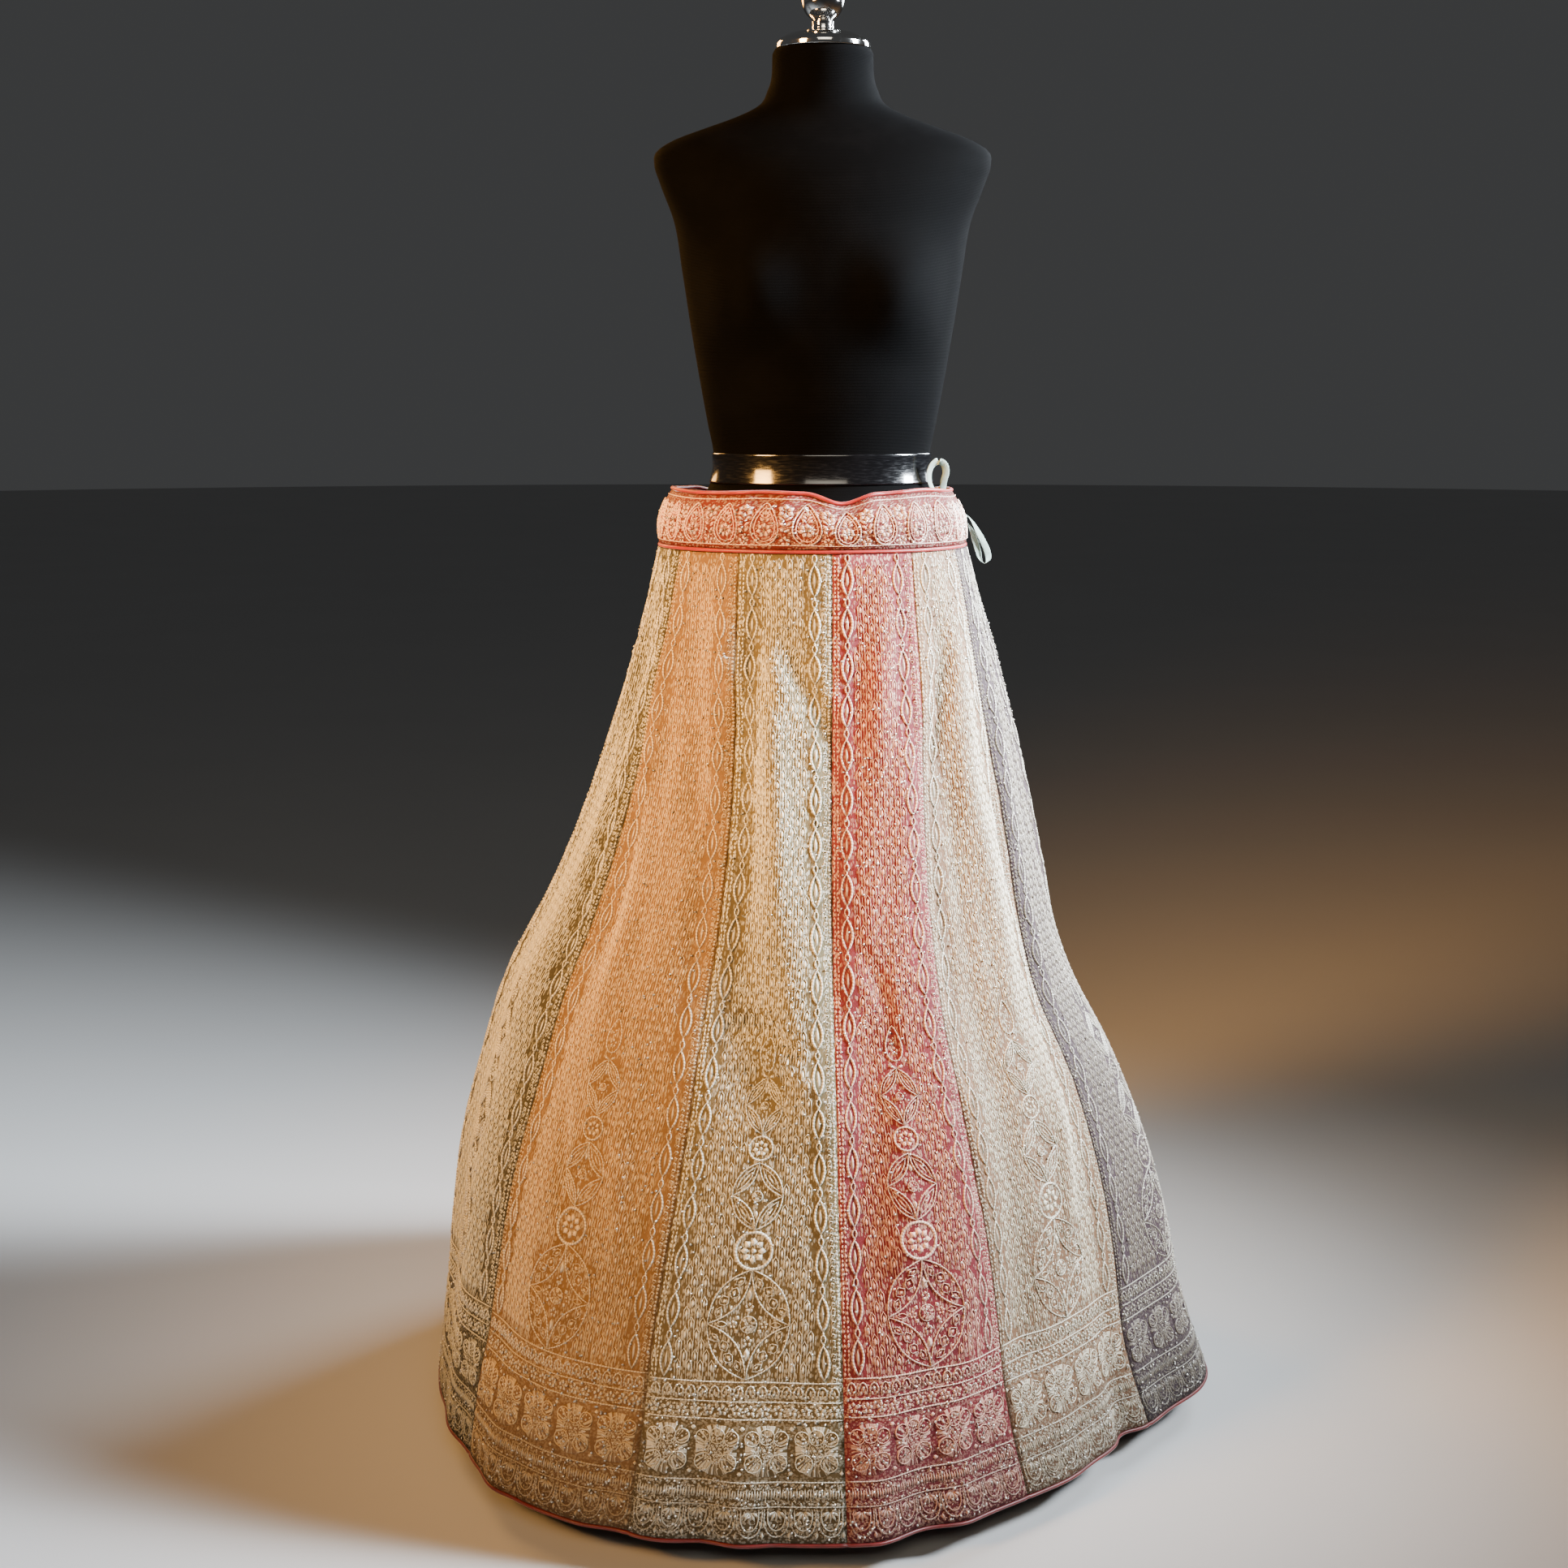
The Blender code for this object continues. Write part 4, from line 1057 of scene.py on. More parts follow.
def fill_stitch():
    """A thin arch of thread whose legs run down beside the next one's, over a padded seed with a tail."""
    mm = 0.001
    arch = np.array([(-2.8, -15.0), (-2.8, 0.0), (0.0, 4.4), (2.8, 0.0), (2.8, -15.0)])
    shape = Shape()
    for path in (arch, np.array([(0.0, -17.5), (0.0, -8.0)])):
        shape.thread(path * mm, 1.2 * mm, 1.0 * mm, finish=FILL_THREAD)
    return shape.leaf((10.5 * mm, 3.3 * mm), (0.0, -8.6 * mm), 0.0, 1.7 * mm, FILL_THREAD, 3, 0.5)


def chain_link():
    """A pointed oval outlined in cord with a long seed in it, joined to the next one by a small oval."""
    outline = moved(leaf_path(0.0350, 0.0116, 7, 0.85), 0.0, -0.0175)
    shape = Shape().thread(outline, 0.0030, 0.0018, True, CORD)
    shape.leaf((0.0215, 0.0040), (0.0, -0.0108), 0.0, 0.0015, CORD, 3, 0.8)
    shape.thread(moved(ring_path(0.0024, 8, 0.0042), 0.0, 0.0245), 0.0020, 0.0016, True, CORD)
    for y in (0.0160, 0.0272):
        shape.leaf((0.0058, 0.0036), (0.0, y), 0.0, 0.0016, CORD)
    return shape


def leaf_line(start, end):
    """The length from one place to another and the turn of that line from upright, in degrees."""
    x, y = end[0] - start[0], end[1] - start[1]
    return math.hypot(x, y), math.degrees(math.atan2(y, x)) - 90.0


def lined_leaf(shape, start, end, width, cord):
    """A pointed leaf between two places with a second outline inside its own and a long seed in that."""
    length, turn = leaf_line(start, end)
    shape.thread(moved(leaf_path(length, width, 8, 0.9), *start, turn), cord, 0.0015, True, CORD)
    inner = moved(leaf_path(length * 0.70, width * 0.50, 6, 0.9), 0.0, length * 0.15)
    shape.thread(moved(inner, *start, turn), cord * 0.75, 0.0012, True, CORD)
    seed = moved(leaf_path(length * 0.40, width * 0.16, 3), 0.0, length * 0.30)
    shape.seed(moved(seed, *start, turn), 0.0012, FILL_THREAD)


def budded_leaf(shape, start, end, width, cord):
    """A pointed leaf between two places: an outline, four small outlined buds in it and dots beside them."""
    length, turn = leaf_line(start, end)
    shape.thread(moved(leaf_path(length, width, 8, 0.9), *start, turn), cord, 0.0014, True, CORD)
    step = length * 0.72 / LEAF_BUDS
    for k in range(LEAF_BUDS):
        at = length * 0.15 + step * k
        reach = width * math.sin(math.pi * (at + step / 2) / length)
        lean = 16.0 if k % 2 else -16.0
        bud = moved(leaf_path(step * 0.94, reach * 0.44, 3), 0.0, at, lean)
        shape.thread(moved(bud, *start, turn), cord * 0.62, 0.0011, True, CORD)
        seed = moved(leaf_path(step * 0.56, reach * 0.20, 2), 0.0, at + step * 0.18, lean)
        shape.seed(moved(seed, *start, turn), 0.0012, FILL_THREAD)
        for side in SIDES:
            dot = leaf_path(step * 0.55, reach * 0.14, 2)
            dot = moved(dot, side * reach * 0.31, at + step * 0.28, -20.0 * side)
            shape.seed(moved(dot, *start, turn), 0.0010, FILL_THREAD)


def leaf_diamond(half_width, half_height, leaf_width, cord, leaf=lined_leaf):
    """Four leaves round a small flower, meeting above, below and at the sides."""
    shape = Shape()
    for side in SIDES:
        for end in SIDES:
            leaf(shape, (0.0, end * half_height), (side * half_width, 0.0), leaf_width, cord)
    shape.pad(ring_path(half_width * 0.19, 10), 0.0009, PATCH)
    shape.thread(ring_path(half_width * 0.20, 12), cord * 0.7, 0.0015, True, CORD)
    petal_ring(shape, 6, half_width * 0.40, half_width * 0.24, half_width * 0.15, 0.0011, CORD)
    for end in SIDES:
        shape.leaf((half_height * 0.30, half_width * 0.20), (0.0, end * half_height * 0.40),
                   0.0 if end > 0 else 180.0, 0.0013, CORD, 3)
    return shape


def mandala():
    """The large four-leaf figure: filled leaves, a ringed eye in the middle and small flowers round it."""
    shape = leaf_diamond(0.0435, 0.0565, 0.0255, 0.0019, budded_leaf)
    for end in SIDES:
        petal_ring(shape, 5, 0.0058, 0.0010, 0.0044, 0.0014, CORD, y=end * 0.0175)
    for side in SIDES:
        petal_ring(shape, 5, 0.0048, 0.0010, 0.0038, 0.0013, FILL_THREAD, x=side * 0.0165)
        bud = moved(leaf_path(0.0120, 0.0058, 4), side * 0.0225, 0.0, -90.0 * side)
        shape.thread(bud, 0.0011, 0.0010, True, FILL_THREAD)
    return shape


def ring_flower(outer, petals):
    """A broad couched ring round a full flower with an eye."""
    shape = Shape().thread(ring_path(outer * 0.90, 20), outer * 0.19, 0.0014, True, CORD)
    petal_ring(shape, petals, outer * 0.70, outer * 0.16, outer * 0.44, 0.0013, FILL_THREAD)
    petal_ring(shape, petals, outer * 0.54, outer * 0.20, outer * 0.16, 0.0017, CORD)
    return shape.seed(ring_path(outer * 0.16, 6), 0.0016, CORD)


def crowning_drop():
    """A pointed drop on two small leaves, with two flowers in it."""
    shape = Shape().thread(moved(drop_path(0.0380, 0.0205, 16), 0.0, -0.0150), 0.0018, 0.0014, True, CORD)
    petal_ring(shape, 5, 0.0052, 0.0010, 0.0042, 0.0014, CORD, y=-0.0040)
    petal_ring(shape, 4, 0.0040, 0.0008, 0.0034, 0.0013, CORD, y=0.0075)
    for side in SIDES:
        shape.leaf((0.0095, 0.0040), (0.0, -0.0230), -62.0 * side, 0.0013, CORD)
    return shape


def small_arch():
    """One arch of the border's upper row, with a bud in it."""
    rise = [(-0.0046, -0.0062), (-0.0046, 0.0010), (-0.0026, 0.0052)]
    path = [*rise, (0.0, 0.0066), *((-x, y) for x, y in reversed(rise))]
    shape = Shape().thread(path, 0.0019, 0.0014, finish=CORD)
    for x, y, turn, length in ((0.0, -0.0040, 0.0, 0.0080), (-0.0008, -0.0056, 40.0, 0.0054),
                               (0.0008, -0.0056, -40.0, 0.0054)):
        shape.leaf((length, 0.0034), (x, y), turn, 0.0015, CORD)
    return shape


def small_flower():
    """A five-petalled flower of the border's second row, with two dots beside it."""
    shape = Shape()
    petal_ring(shape, 5, 0.0066, 0.0008, 0.0052, 0.0017, CORD)
    for y in (-0.0052, 0.0052):
        shape.leaf((0.0036, 0.0026), (0.0069, y - 0.0018), 0.0, 0.0013, FILL_THREAD)
    return shape


def stitched_round(shape, x, y, radius, stitches, eye):
    """A padded round: a ring of cord, stitches from its middle outwards and an eye."""
    shape.thread(moved(ring_path(radius * 0.90, 12), x, y), 0.0014, 0.0018, True, FILL_THREAD)
    petal = moved(leaf_path(radius * 0.56, radius * 0.32, 2, 0.7), 0.0, radius * 0.28)
    for k in range(stitches):
        shape.seed(moved(petal, x, y, 360.0 * k / stitches), 0.0019, CORD if k % 2 else FILL_THREAD)
    shape.seed(moved(ring_path(radius * 0.24, 6), x, y), 0.0022, eye)


def block_outline(half_width):
    """The rounded outline of a block, wider above than below: a superellipse with six soft lobes."""
    a = circle(BLOCK_SIDES)
    lobes = 0.975 + 0.035 * np.cos(6 * a - math.pi)
    x = power(np.cos(a), 0.60) * lobes
    y = power(np.sin(a), 0.66) * lobes
    return np.column_stack([x * half_width * (0.97 + 0.03 * y), 0.0005 + BLOCK_HALF_HEIGHT * y])


def block_flower(pitch):
    """One block of the border's main band: a patch of stitching, five rounds on it and a bud beside it."""
    w = pitch / 2 - BLOCK_GAP / 2
    shape = Shape().pad(block_outline(w), 0.0006, PATCH)
    lobe = w - 0.0094
    for x, y, radius in ((0.0, 0.0150, 0.0090), (-lobe, 0.0132, 0.0086), (lobe, 0.0132, 0.0086)):
        stitched_round(shape, x, y, radius, 6, CORD)
    for side in SIDES:
        stitched_round(shape, side * (w - 0.0112), -0.0118, 0.0100, 8, BEAD)
        shape.leaf((0.0140, 0.0052), (side * (w - 0.0030), 0.0016), 96.0 * side, 0.0016, CORD, 3)
        for y, turn in ((0.0262, 180.0), (-0.0250, 0.0)):
            shape.leaf((0.0060, 0.0058), (side * pitch / 2, y), turn, 0.0013, FILL_THREAD)
    for y in (-0.0215, -0.0145, -0.0075, -0.0010):
        for side in SIDES:
            shape.leaf((0.0072, 0.0030), (0.0, y), -50.0 * side, 0.0017, CORD)
    return shape


def bar_cluster():
    """The narrow band's repeat: a tall bar between two short ones, with dots above and below."""
    shape = Shape()
    for x, length in ((0.0, 0.0170), (-0.0029, 0.0120), (0.0029, 0.0120)):
        shape.leaf((length, 0.0028), (x, -length / 2), 0.0, 0.0014, FILL_THREAD if x else CORD, 2, 0.6)
    for y in (-0.0095, 0.0095):
        shape.seed(moved(ring_path(0.0019, 4), 0.0043, y), 0.0013, CORD)
    return shape


def scallop(pitch):
    """A hanging scallop: two U-shaped cords, a fan of petals in it and leaves between it and the next."""
    shape = Shape()
    for radius, drop, width, finish in ((pitch * 0.46, 0.0280, 0.0019, CORD),
                                        (pitch * 0.33, 0.0215, 0.0016, FILL_THREAD)):
        bowl = arc_path(radius, 180, 360, 9, drop * 0.62) - (0.0, drop * 0.38)
        shape.thread(np.concatenate([[(-radius, 0.0)], bowl, [(radius, 0.0)]]), width, 0.0012, finish=finish)
    for turn in (-58.0, -29.0, 0.0, 29.0, 58.0):
        shape.leaf((0.0135, 0.0042), (0.0, -0.0010), 180.0 + turn, 0.0013, FILL_THREAD if turn else CORD)
    for y, turn in ((-0.0270, 0.0), (-0.0150, 24.0), (-0.0150, -24.0)):
        shape.leaf((0.0095, 0.0050), (0.5 * pitch, y - 0.0040), turn, 0.0012, FILL_THREAD)
    return shape


def band_teardrop():
    """The waistband's upright drop: two outlines, a flower with a bead and leaves that fill it."""
    shape = Shape().thread(moved(drop_path(0.0470, 0.0315, 20), 0.0, -0.0235), 0.0017, 0.0018, True, CORD)
    shape.thread(moved(drop_path(0.0385, 0.0242, 14), 0.0, -0.0200), 0.0014, 0.0013, True, FILL_THREAD)
    petal_ring(shape, 7, 0.0092, 0.0016, 0.0064, 0.0018, CORD, y=-0.0072)
    shape.seed(moved(ring_path(0.0018, 5), 0.0, -0.0072), 0.0020, BEAD)
    for y, length, finish in ((0.0008, 0.0096, CORD), (0.0052, 0.0084, FILL_THREAD), (0.0092, 0.0064, CORD)):
        for side in SIDES:
            shape.leaf((length, 0.0036), (0.0, y), -42.0 * side, 0.0016, finish)
    return shape.leaf((0.0100, 0.0034), (0.0, 0.0075), 0.0, 0.0017, CORD)


def band_spray():
    """What stands between two drops: a flower above, pairs of leaves below it and a flower at the foot."""
    shape = Shape()
    petal_ring(shape, 6, 0.0094, 0.0010, 0.0068, 0.0018, CORD, y=0.0145)
    shape.seed(moved(ring_path(0.0015, 5), 0.0, 0.0145), 0.0019, BEAD)
    petal_ring(shape, 5, 0.0064, 0.0008, 0.0048, 0.0015, CORD, y=-0.0195)
    for y, length, finish in ((0.0030, 0.0100, CORD), (-0.0030, 0.0088, FILL_THREAD),
                              (-0.0095, 0.0078, CORD)):
        for side in SIDES:
            shape.leaf((length, 0.0040), (0.0, y), -50.0 * side, 0.0016, finish)
    for side in SIDES:
        shape.leaf((0.0090, 0.0038), (side * 0.0100, 0.0085), -16.0 * side, 0.0015, FILL_THREAD)
    return shape


# Figures up the middle of a panel.  The filling keeps clear of an oval round each.
#   laid at, figure, its sizes, the oval's middle, half width and half height
FIGURES = (
    (0.2220, mandala, (), 0.2220, 0.0445, 0.0580),
    (0.2980, ring_flower, (0.0215, 8), 0.2980, 0.0215, 0.0215),
    (0.3545, leaf_diamond, (0.0270, 0.0350, 0.0150, 0.0018), 0.3545, 0.0270, 0.0350),
    (0.4045, ring_flower, (0.0140, 7), 0.4045, 0.0140, 0.0140),
    (0.4500, leaf_diamond, (0.0200, 0.0305, 0.0108, 0.0017), 0.4500, 0.0210, 0.0310),
    (0.5030, crowning_drop, (), 0.5050, 0.0105, 0.0200),
)

# Rows of the hem border.
#   figure, whether it takes the pitch, whether it shrinks to it, height of the width it is fitted to,
#   laid at, wanted pitch
BORDER_ROWS = (
    (small_arch, False, True, 0.1530, 0.1525, 0.0122),
    (small_flower, False, False, 0.1340, 0.1340, 0.0146),
    (block_flower, True, False, 0.0930, 0.0925, 0.0500),
    (bar_cluster, False, False, 0.0490, 0.0490, 0.0086),
    (scallop, True, False, 0.0200, 0.0340, 0.0280),
)


# ------------------------------ materials
class Finish:
    """A node material put together a node at a time."""

    def __init__(self, name, roughness, **sockets):
        self.material = bpy.data.materials.new(name)
        self.material.use_nodes = True
        self.tree = self.material.node_tree
        self.shader = self.tree.nodes["Principled BSDF"]
        self.shader.inputs["Roughness"].default_value = roughness
        for socket, value in sockets.items():
            self.shader.inputs[socket.replace("_", " ")].default_value = value

    def feed(self, socket, value):
        """Links a socket to another one, or sets it to a number, a vector or a colour."""
        if isinstance(value, bpy.types.NodeSocket):
            self.tree.links.new(value, socket)
        else:
            socket.default_value = (*value, 1.0) if socket.type == "RGBA" else value

    def node(self, kind, inputs=None, **settings):
        """A new node with its settings made and its sockets fed."""
        made = self.tree.nodes.new(kind)
        for key, value in settings.items():
            setattr(made, key, value)
        for key, value in (inputs or {}).items():
            self.feed(made.inputs[key], value)
        return made

    def place(self, source="Object", scale=(1.0, 1.0, 1.0)):
        """Coordinates of the piece itself, scaled."""
        coordinates = self.node("ShaderNodeTexCoord").outputs[source]
        return self.node("ShaderNodeMapping", {"Vector": coordinates, "Scale": scale}).outputs["Vector"]

    def axis(self, source, letter):
        """One axis of the piece's own coordinates."""
        coordinates = self.node("ShaderNodeTexCoord").outputs[source]
        return self.node("ShaderNodeSeparateXYZ", {"Vector": coordinates}).outputs[letter]

    def noise(self, vector, scale, detail, roughness=0.5):
        """Cloudy noise from 0 to 1."""
        return self.node("ShaderNodeTexNoise", {"Vector": vector, "Scale": scale, "Detail": detail,
                                                "Roughness": roughness}).outputs["Fac"]

    def spots(self, scale, low, high, detail=3.0, roughness=0.5, stretch=(1.0, 1.0, 1.0)):
        """Soft spots through the piece: noise spread between two levels of itself."""
        return self.levels(self.noise(self.place("Object", stretch), scale, detail, roughness), low, high)

    def wave(self, vector, scale, distortion, direction, detail_scale=1.0):
        """Even bands from 0 to 1."""
        return self.node("ShaderNodeTexWave", {"Vector": vector, "Scale": scale, "Distortion": distortion,
                                               "Detail Scale": detail_scale},
                         bands_direction=direction).outputs["Fac"]

    def stitches(self, width, length, randomness, edge, full):
        """Close stitches of a width and length in metres: steps of the distance from cells' middles."""
        vector = self.place("UV", (1 / width, 1 / length, 1.0))
        cells = self.node("ShaderNodeTexVoronoi", {"Vector": vector, "Scale": 1.0, "Randomness": randomness},
                          feature="F1")
        return self.levels(cells.outputs["Distance"], edge, full)

    def levels(self, value, low, high, out_low=0.0, out_high=1.0):
        """The value brought from one range to another and kept inside it."""
        return self.node("ShaderNodeMapRange", {"Value": value, "From Min": low, "From Max": high,
                                                "To Min": out_low, "To Max": out_high}).outputs["Result"]

    def mix(self, factor, one, two, blend="MIX"):
        """Two colours mixed."""
        return self.node("ShaderNodeMix", {0: factor, 6: one, 7: two}, data_type="RGBA",
                         blend_type=blend).outputs[2]

    def maths(self, operation, one, two=0.5):
        """Arithmetic on numbers."""
        return self.node("ShaderNodeMath", {0: one, 1: two}, operation=operation).outputs[0]

    def grey(self, value):
        """A number as a grey colour."""
        return self.node("ShaderNodeCombineColor", {"Red": value, "Green": value, "Blue": value}).outputs[0]

    def times(self, colour, value):
        """A colour made darker or lighter by a number."""
        return self.mix(1.0, colour, self.grey(value), "MULTIPLY")

    def painted_hem_shade(self, colour):
        """The colour with painted shade, darker towards the hem, where less light reaches."""
        return self.times(colour, self.levels(self.axis("Object", "Z"), 0.0, HEM_SHADE_HEIGHT, HEM_SHADE_SHARE, 1.0))

    def colour(self, value):
        """Feeds the shader's colour."""
        self.feed(self.shader.inputs["Base Color"], value)

    def tones(self, share, one, two):
        """Feeds the shader's colour with two tones mixed by a share."""
        self.colour(self.mix(share, one, two))

    def rough(self, share, low, high):
        """Feeds the shader's roughness, from one value to another as the share goes from 0 to 1."""
        self.feed(self.shader.inputs["Roughness"], self.levels(share, 0.0, 1.0, low, high))

    def bump(self, height, distance, strength=1.0):
        """Feeds the shader's fine relief, whose depth is in metres."""
        made = self.node("ShaderNodeBump", {"Height": height, "Distance": distance, "Strength": strength})
        self.feed(self.shader.inputs["Normal"], made.outputs["Normal"])


def shade(colour, factor):
    """The colour times a factor, kept within what a colour can hold."""
    return tuple(min(1.0, c * factor) for c in colour)


def stitched_patch(name, ground, thread):
    """Close short stitches over a patch of ground that shows a little between them."""
    made = Finish(name, 0.55, Specular_IOR_Level=0.3)
    stitch = made.stitches(0.0026, 0.0034, 0.9, 0.62, 0.42)
    # painted shade darkens the patch towards the hem
    made.colour(made.painted_hem_shade(made.mix(stitch, ground, shade(thread, 0.74))))
    made.bump(stitch, 0.0008)
    made.rough(stitch, 0.65, 0.45)
    return made.material


def embroidered_cloth(name, ground, thread):
    """Woven silk ground under fine filling stitches, thick in fields and borders and thin round the chains.

    The stitches are stretched cells of two sizes.  How many show is a step of the distance from the seam,
    and of the height above the hem in the band of blocks, which stands on bare ground.
    """
    made = Finish(name, 0.6, Specular_IOR_Level=0.25)
    long_stitch = made.stitches(0.0022, 0.0058, 0.8, 0.52, 0.38)
    short_stitch = made.stitches(0.0031, 0.0027, 0.9, 0.56, 0.42)
    height = made.axis("UV", "Y")
    in_border = made.levels(height, *BORDER_EDGE, 1.0, 0.0)
    strips = []
    for side, chain in zip(("from_left", "from_right"), CHAINS):
        from_seam = made.node("ShaderNodeAttribute", attribute_name=side).outputs["Fac"]
        off_chain = made.maths("ABSOLUTE", made.maths("SUBTRACT", from_seam, chain))
        strips.append(made.levels(off_chain, CHAIN_CLEAR - CHAIN_EDGE, CHAIN_CLEAR + CHAIN_EDGE))
    fields = made.maths("MAXIMUM", made.maths("MULTIPLY", *strips), in_border)
    blocks = made.maths("MULTIPLY", made.levels(height, *BLOCKS_START),
                        made.levels(height, *BLOCKS_END, 1.0, 0.0))
    amount = made.maths("SUBTRACT", made.maths("MULTIPLY", fields, FIELD_COVER),
                        made.maths("MULTIPLY", blocks, BLOCK_BARE))
    stitch = made.mix(in_border, made.grey(long_stitch), made.grey(short_stitch))
    cover = made.maths("MULTIPLY", stitch, made.maths("MAXIMUM", amount, LEAST_COVER))
    patch = made.levels(made.noise(made.place(), 36.0, 3.0), 0.3, 0.7, 0.80, 1.10)
    # the fine stitches take the thread darkened to 0.66, painted shade for stitches lying deeper among the raised
    # work; painted shade also darkens the cloth towards the hem
    made.colour(made.painted_hem_shade(made.times(made.mix(cover, ground, shade(thread, 0.66)), patch)))
    weave = made.place("UV", PER_MM)
    warp, weft = (made.wave(weave, 0.45, 0.4, direction) for direction in "XY")
    woven = made.maths("MULTIPLY", made.maths("MULTIPLY", warp, weft), 0.18)
    made.bump(made.maths("ADD", cover, woven), 0.0008)
    made.rough(cover, 0.66, 0.42)
    return made.material


def silk_thread(name, colour, pale, gloss=0.42, twist_scale=0.28, groove_shade=1.0):
    """Plied embroidery thread: two close tones, a twist along it with painted shade in its grooves, and a soft sheen.
    """
    made = Finish(name, gloss, Sheen_Weight=0.08, Sheen_Roughness=0.35)
    twist = made.wave(made.place("UV", (1100.0, 1.0, 1.0)), twist_scale, 0.3, "DIAGONAL")
    tone = made.mix(made.spots(260.0, 0.35, 0.65, 2.0), colour, pale)
    # painted shade: the twist's grooves are darkened, and the thread darkens towards the hem
    made.colour(made.painted_hem_shade(made.times(tone, made.levels(twist, 0.15, 0.65, groove_shade, 1.0))))
    made.bump(twist, 0.0002, 0.7)
    made.rough(twist, gloss + 0.10, gloss - 0.06)
    return made.material


def satin_piping(name, colour):
    """Bias-cut satin over a cord: fine slanting weave, slightly darker where it is handled."""
    made = Finish(name, 0.38, Sheen_Weight=0.3, Sheen_Roughness=0.3)
    patch = made.spots(60.0, 0.35, 0.65)
    # painted shade darkens the satin towards the hem
    made.colour(made.painted_hem_shade(made.mix(patch, shade(colour, 0.80), shade(colour, 1.15))))
    made.bump(made.wave(made.place("UV", (1000.0, 3.0, 1.0)), 0.35, 1.0, "DIAGONAL"), 0.00015, 0.6)
    made.rough(patch, 0.46, 0.34)
    return made.material


def woven_tape(name, colour):
    """Flat cotton tape: ribs across it and a slightly uneven dye."""
    made = Finish(name, 0.72, Sheen_Weight=0.3)
    made.tones(made.spots(120.0, 0.3, 0.7), shade(colour, 0.78), shade(colour, 1.12))
    ribs = made.place("UV", (1000.0, 26.0, 1.0))
    rib = made.wave(ribs, 0.32, 0.6, "X")
    made.bump(made.maths("ADD", rib, made.wave(ribs, 0.32, 0.3, "Y")), 0.00025, 0.8)
    made.rough(rib, 0.80, 0.66)
    return made.material


def jersey(name, colour):
    """Matt black knit stretched over the form: fine ribs up and down and faint dust."""
    made = Finish(name, 0.8, Specular_IOR_Level=0.02)
    dust = made.spots(18.0, 0.45, 0.75, 5.0, 0.6)
    made.tones(dust, colour, shade(colour, 1.9))
    knit = made.place("Object", (1000.0, 1000.0, 1000.0))
    courses = made.wave(knit, 0.26, 2.0, "Z", 1.5)
    made.bump(made.maths("ADD", courses, made.noise(knit, 0.9, 2.0)), 0.0003, 0.5)
    made.rough(dust, 0.78, 0.9)
    return made.material


def gloss_plastic(name, colour):
    """Black patent belt: a clear glossy skin with faint waviness and fine scuffs."""
    made = Finish(name, 0.16, Coat_Weight=0.6, Coat_Roughness=0.08)
    scuff = made.spots(3.0, 0.45, 0.8, 4.0, stretch=(30.0, 30.0, 220.0))
    made.tones(scuff, colour, shade(colour, 2.2))
    made.bump(made.noise(made.place(), 14.0, 1.0), 0.0006, 0.4)
    made.rough(scuff, 0.12, 0.28)
    return made.material


def chrome(name, colour):
    """Bright plate: mirror-like, with faint turning lines and a few dull spots."""
    made = Finish(name, 0.1, Metallic=1.0)
    dull = made.spots(90.0, 0.55, 0.8, 4.0)
    made.tones(dull, colour, shade(colour, 0.7))
    made.bump(made.wave(made.place(), 160.0, 0.2, "Z"), 0.00002, 0.3)
    made.rough(dull, 0.07, 0.22)
    return made.material


def powder_coat(name, colour):
    """Black powder-coated steel: a fine orange-peel skin, worn a little paler in places."""
    made = Finish(name, 0.45)
    worn = made.spots(34.0, 0.55, 0.75, 6.0)
    made.tones(worn, colour, shade(colour, 2.4))
    made.bump(made.noise(made.place(), 900.0, 1.0), 0.0002, 0.5)
    made.rough(worn, 0.42, 0.6)
    return made.material


def foil_sequin(name, colour):
    """Foil sequins: bright metal whose tone shifts a little from one to the next."""
    made = Finish(name, 0.34, Metallic=1.0)
    tone = made.spots(240.0, 0.35, 0.65, 1.0)
    made.tones(tone, colour, shade(colour, 0.75))
    made.rough(tone, 0.28, 0.40)
    return made.material


def glass_bead(name, colour):
    """Small opaque beads with a clear glaze."""
    made = Finish(name, 0.25, Coat_Weight=0.5, Coat_Roughness=0.1)
    tone = made.spots(300.0, 0.35, 0.65, 1.0)
    made.tones(tone, colour, shade(colour, 1.5))
    made.rough(tone, 0.2, 0.34)
    return made.material


def floor_paint(name, colour):
    """Smooth pale studio floor."""
    made = Finish(name, 0.7)
    made.tones(made.spots(1.5, 0.3, 0.7, 4.0), shade(colour, 0.97), colour)
    return made.material


def material(make, name, *values):
    """The named material, made once; colours may be given as settings."""
    values = [value if isinstance(value, (float, tuple)) else tuple(value) for value in values]
    return bpy.data.materials.get(name) or make(name, *values)


# ------------------------------ settings
def colour_setting(name, default, description):
    """A colour that the user may change."""
    return bpy.props.FloatVectorProperty(name=name, description=description, default=default, size=3,
                                         subtype="COLOR", min=0.0, max=1.0)


def length_setting(name, default, description):
    """A length in metres that the user may change."""
    return bpy.props.FloatProperty(name=name, description=description, default=default, min=0.0,
                                   subtype="DISTANCE", unit="LENGTH")


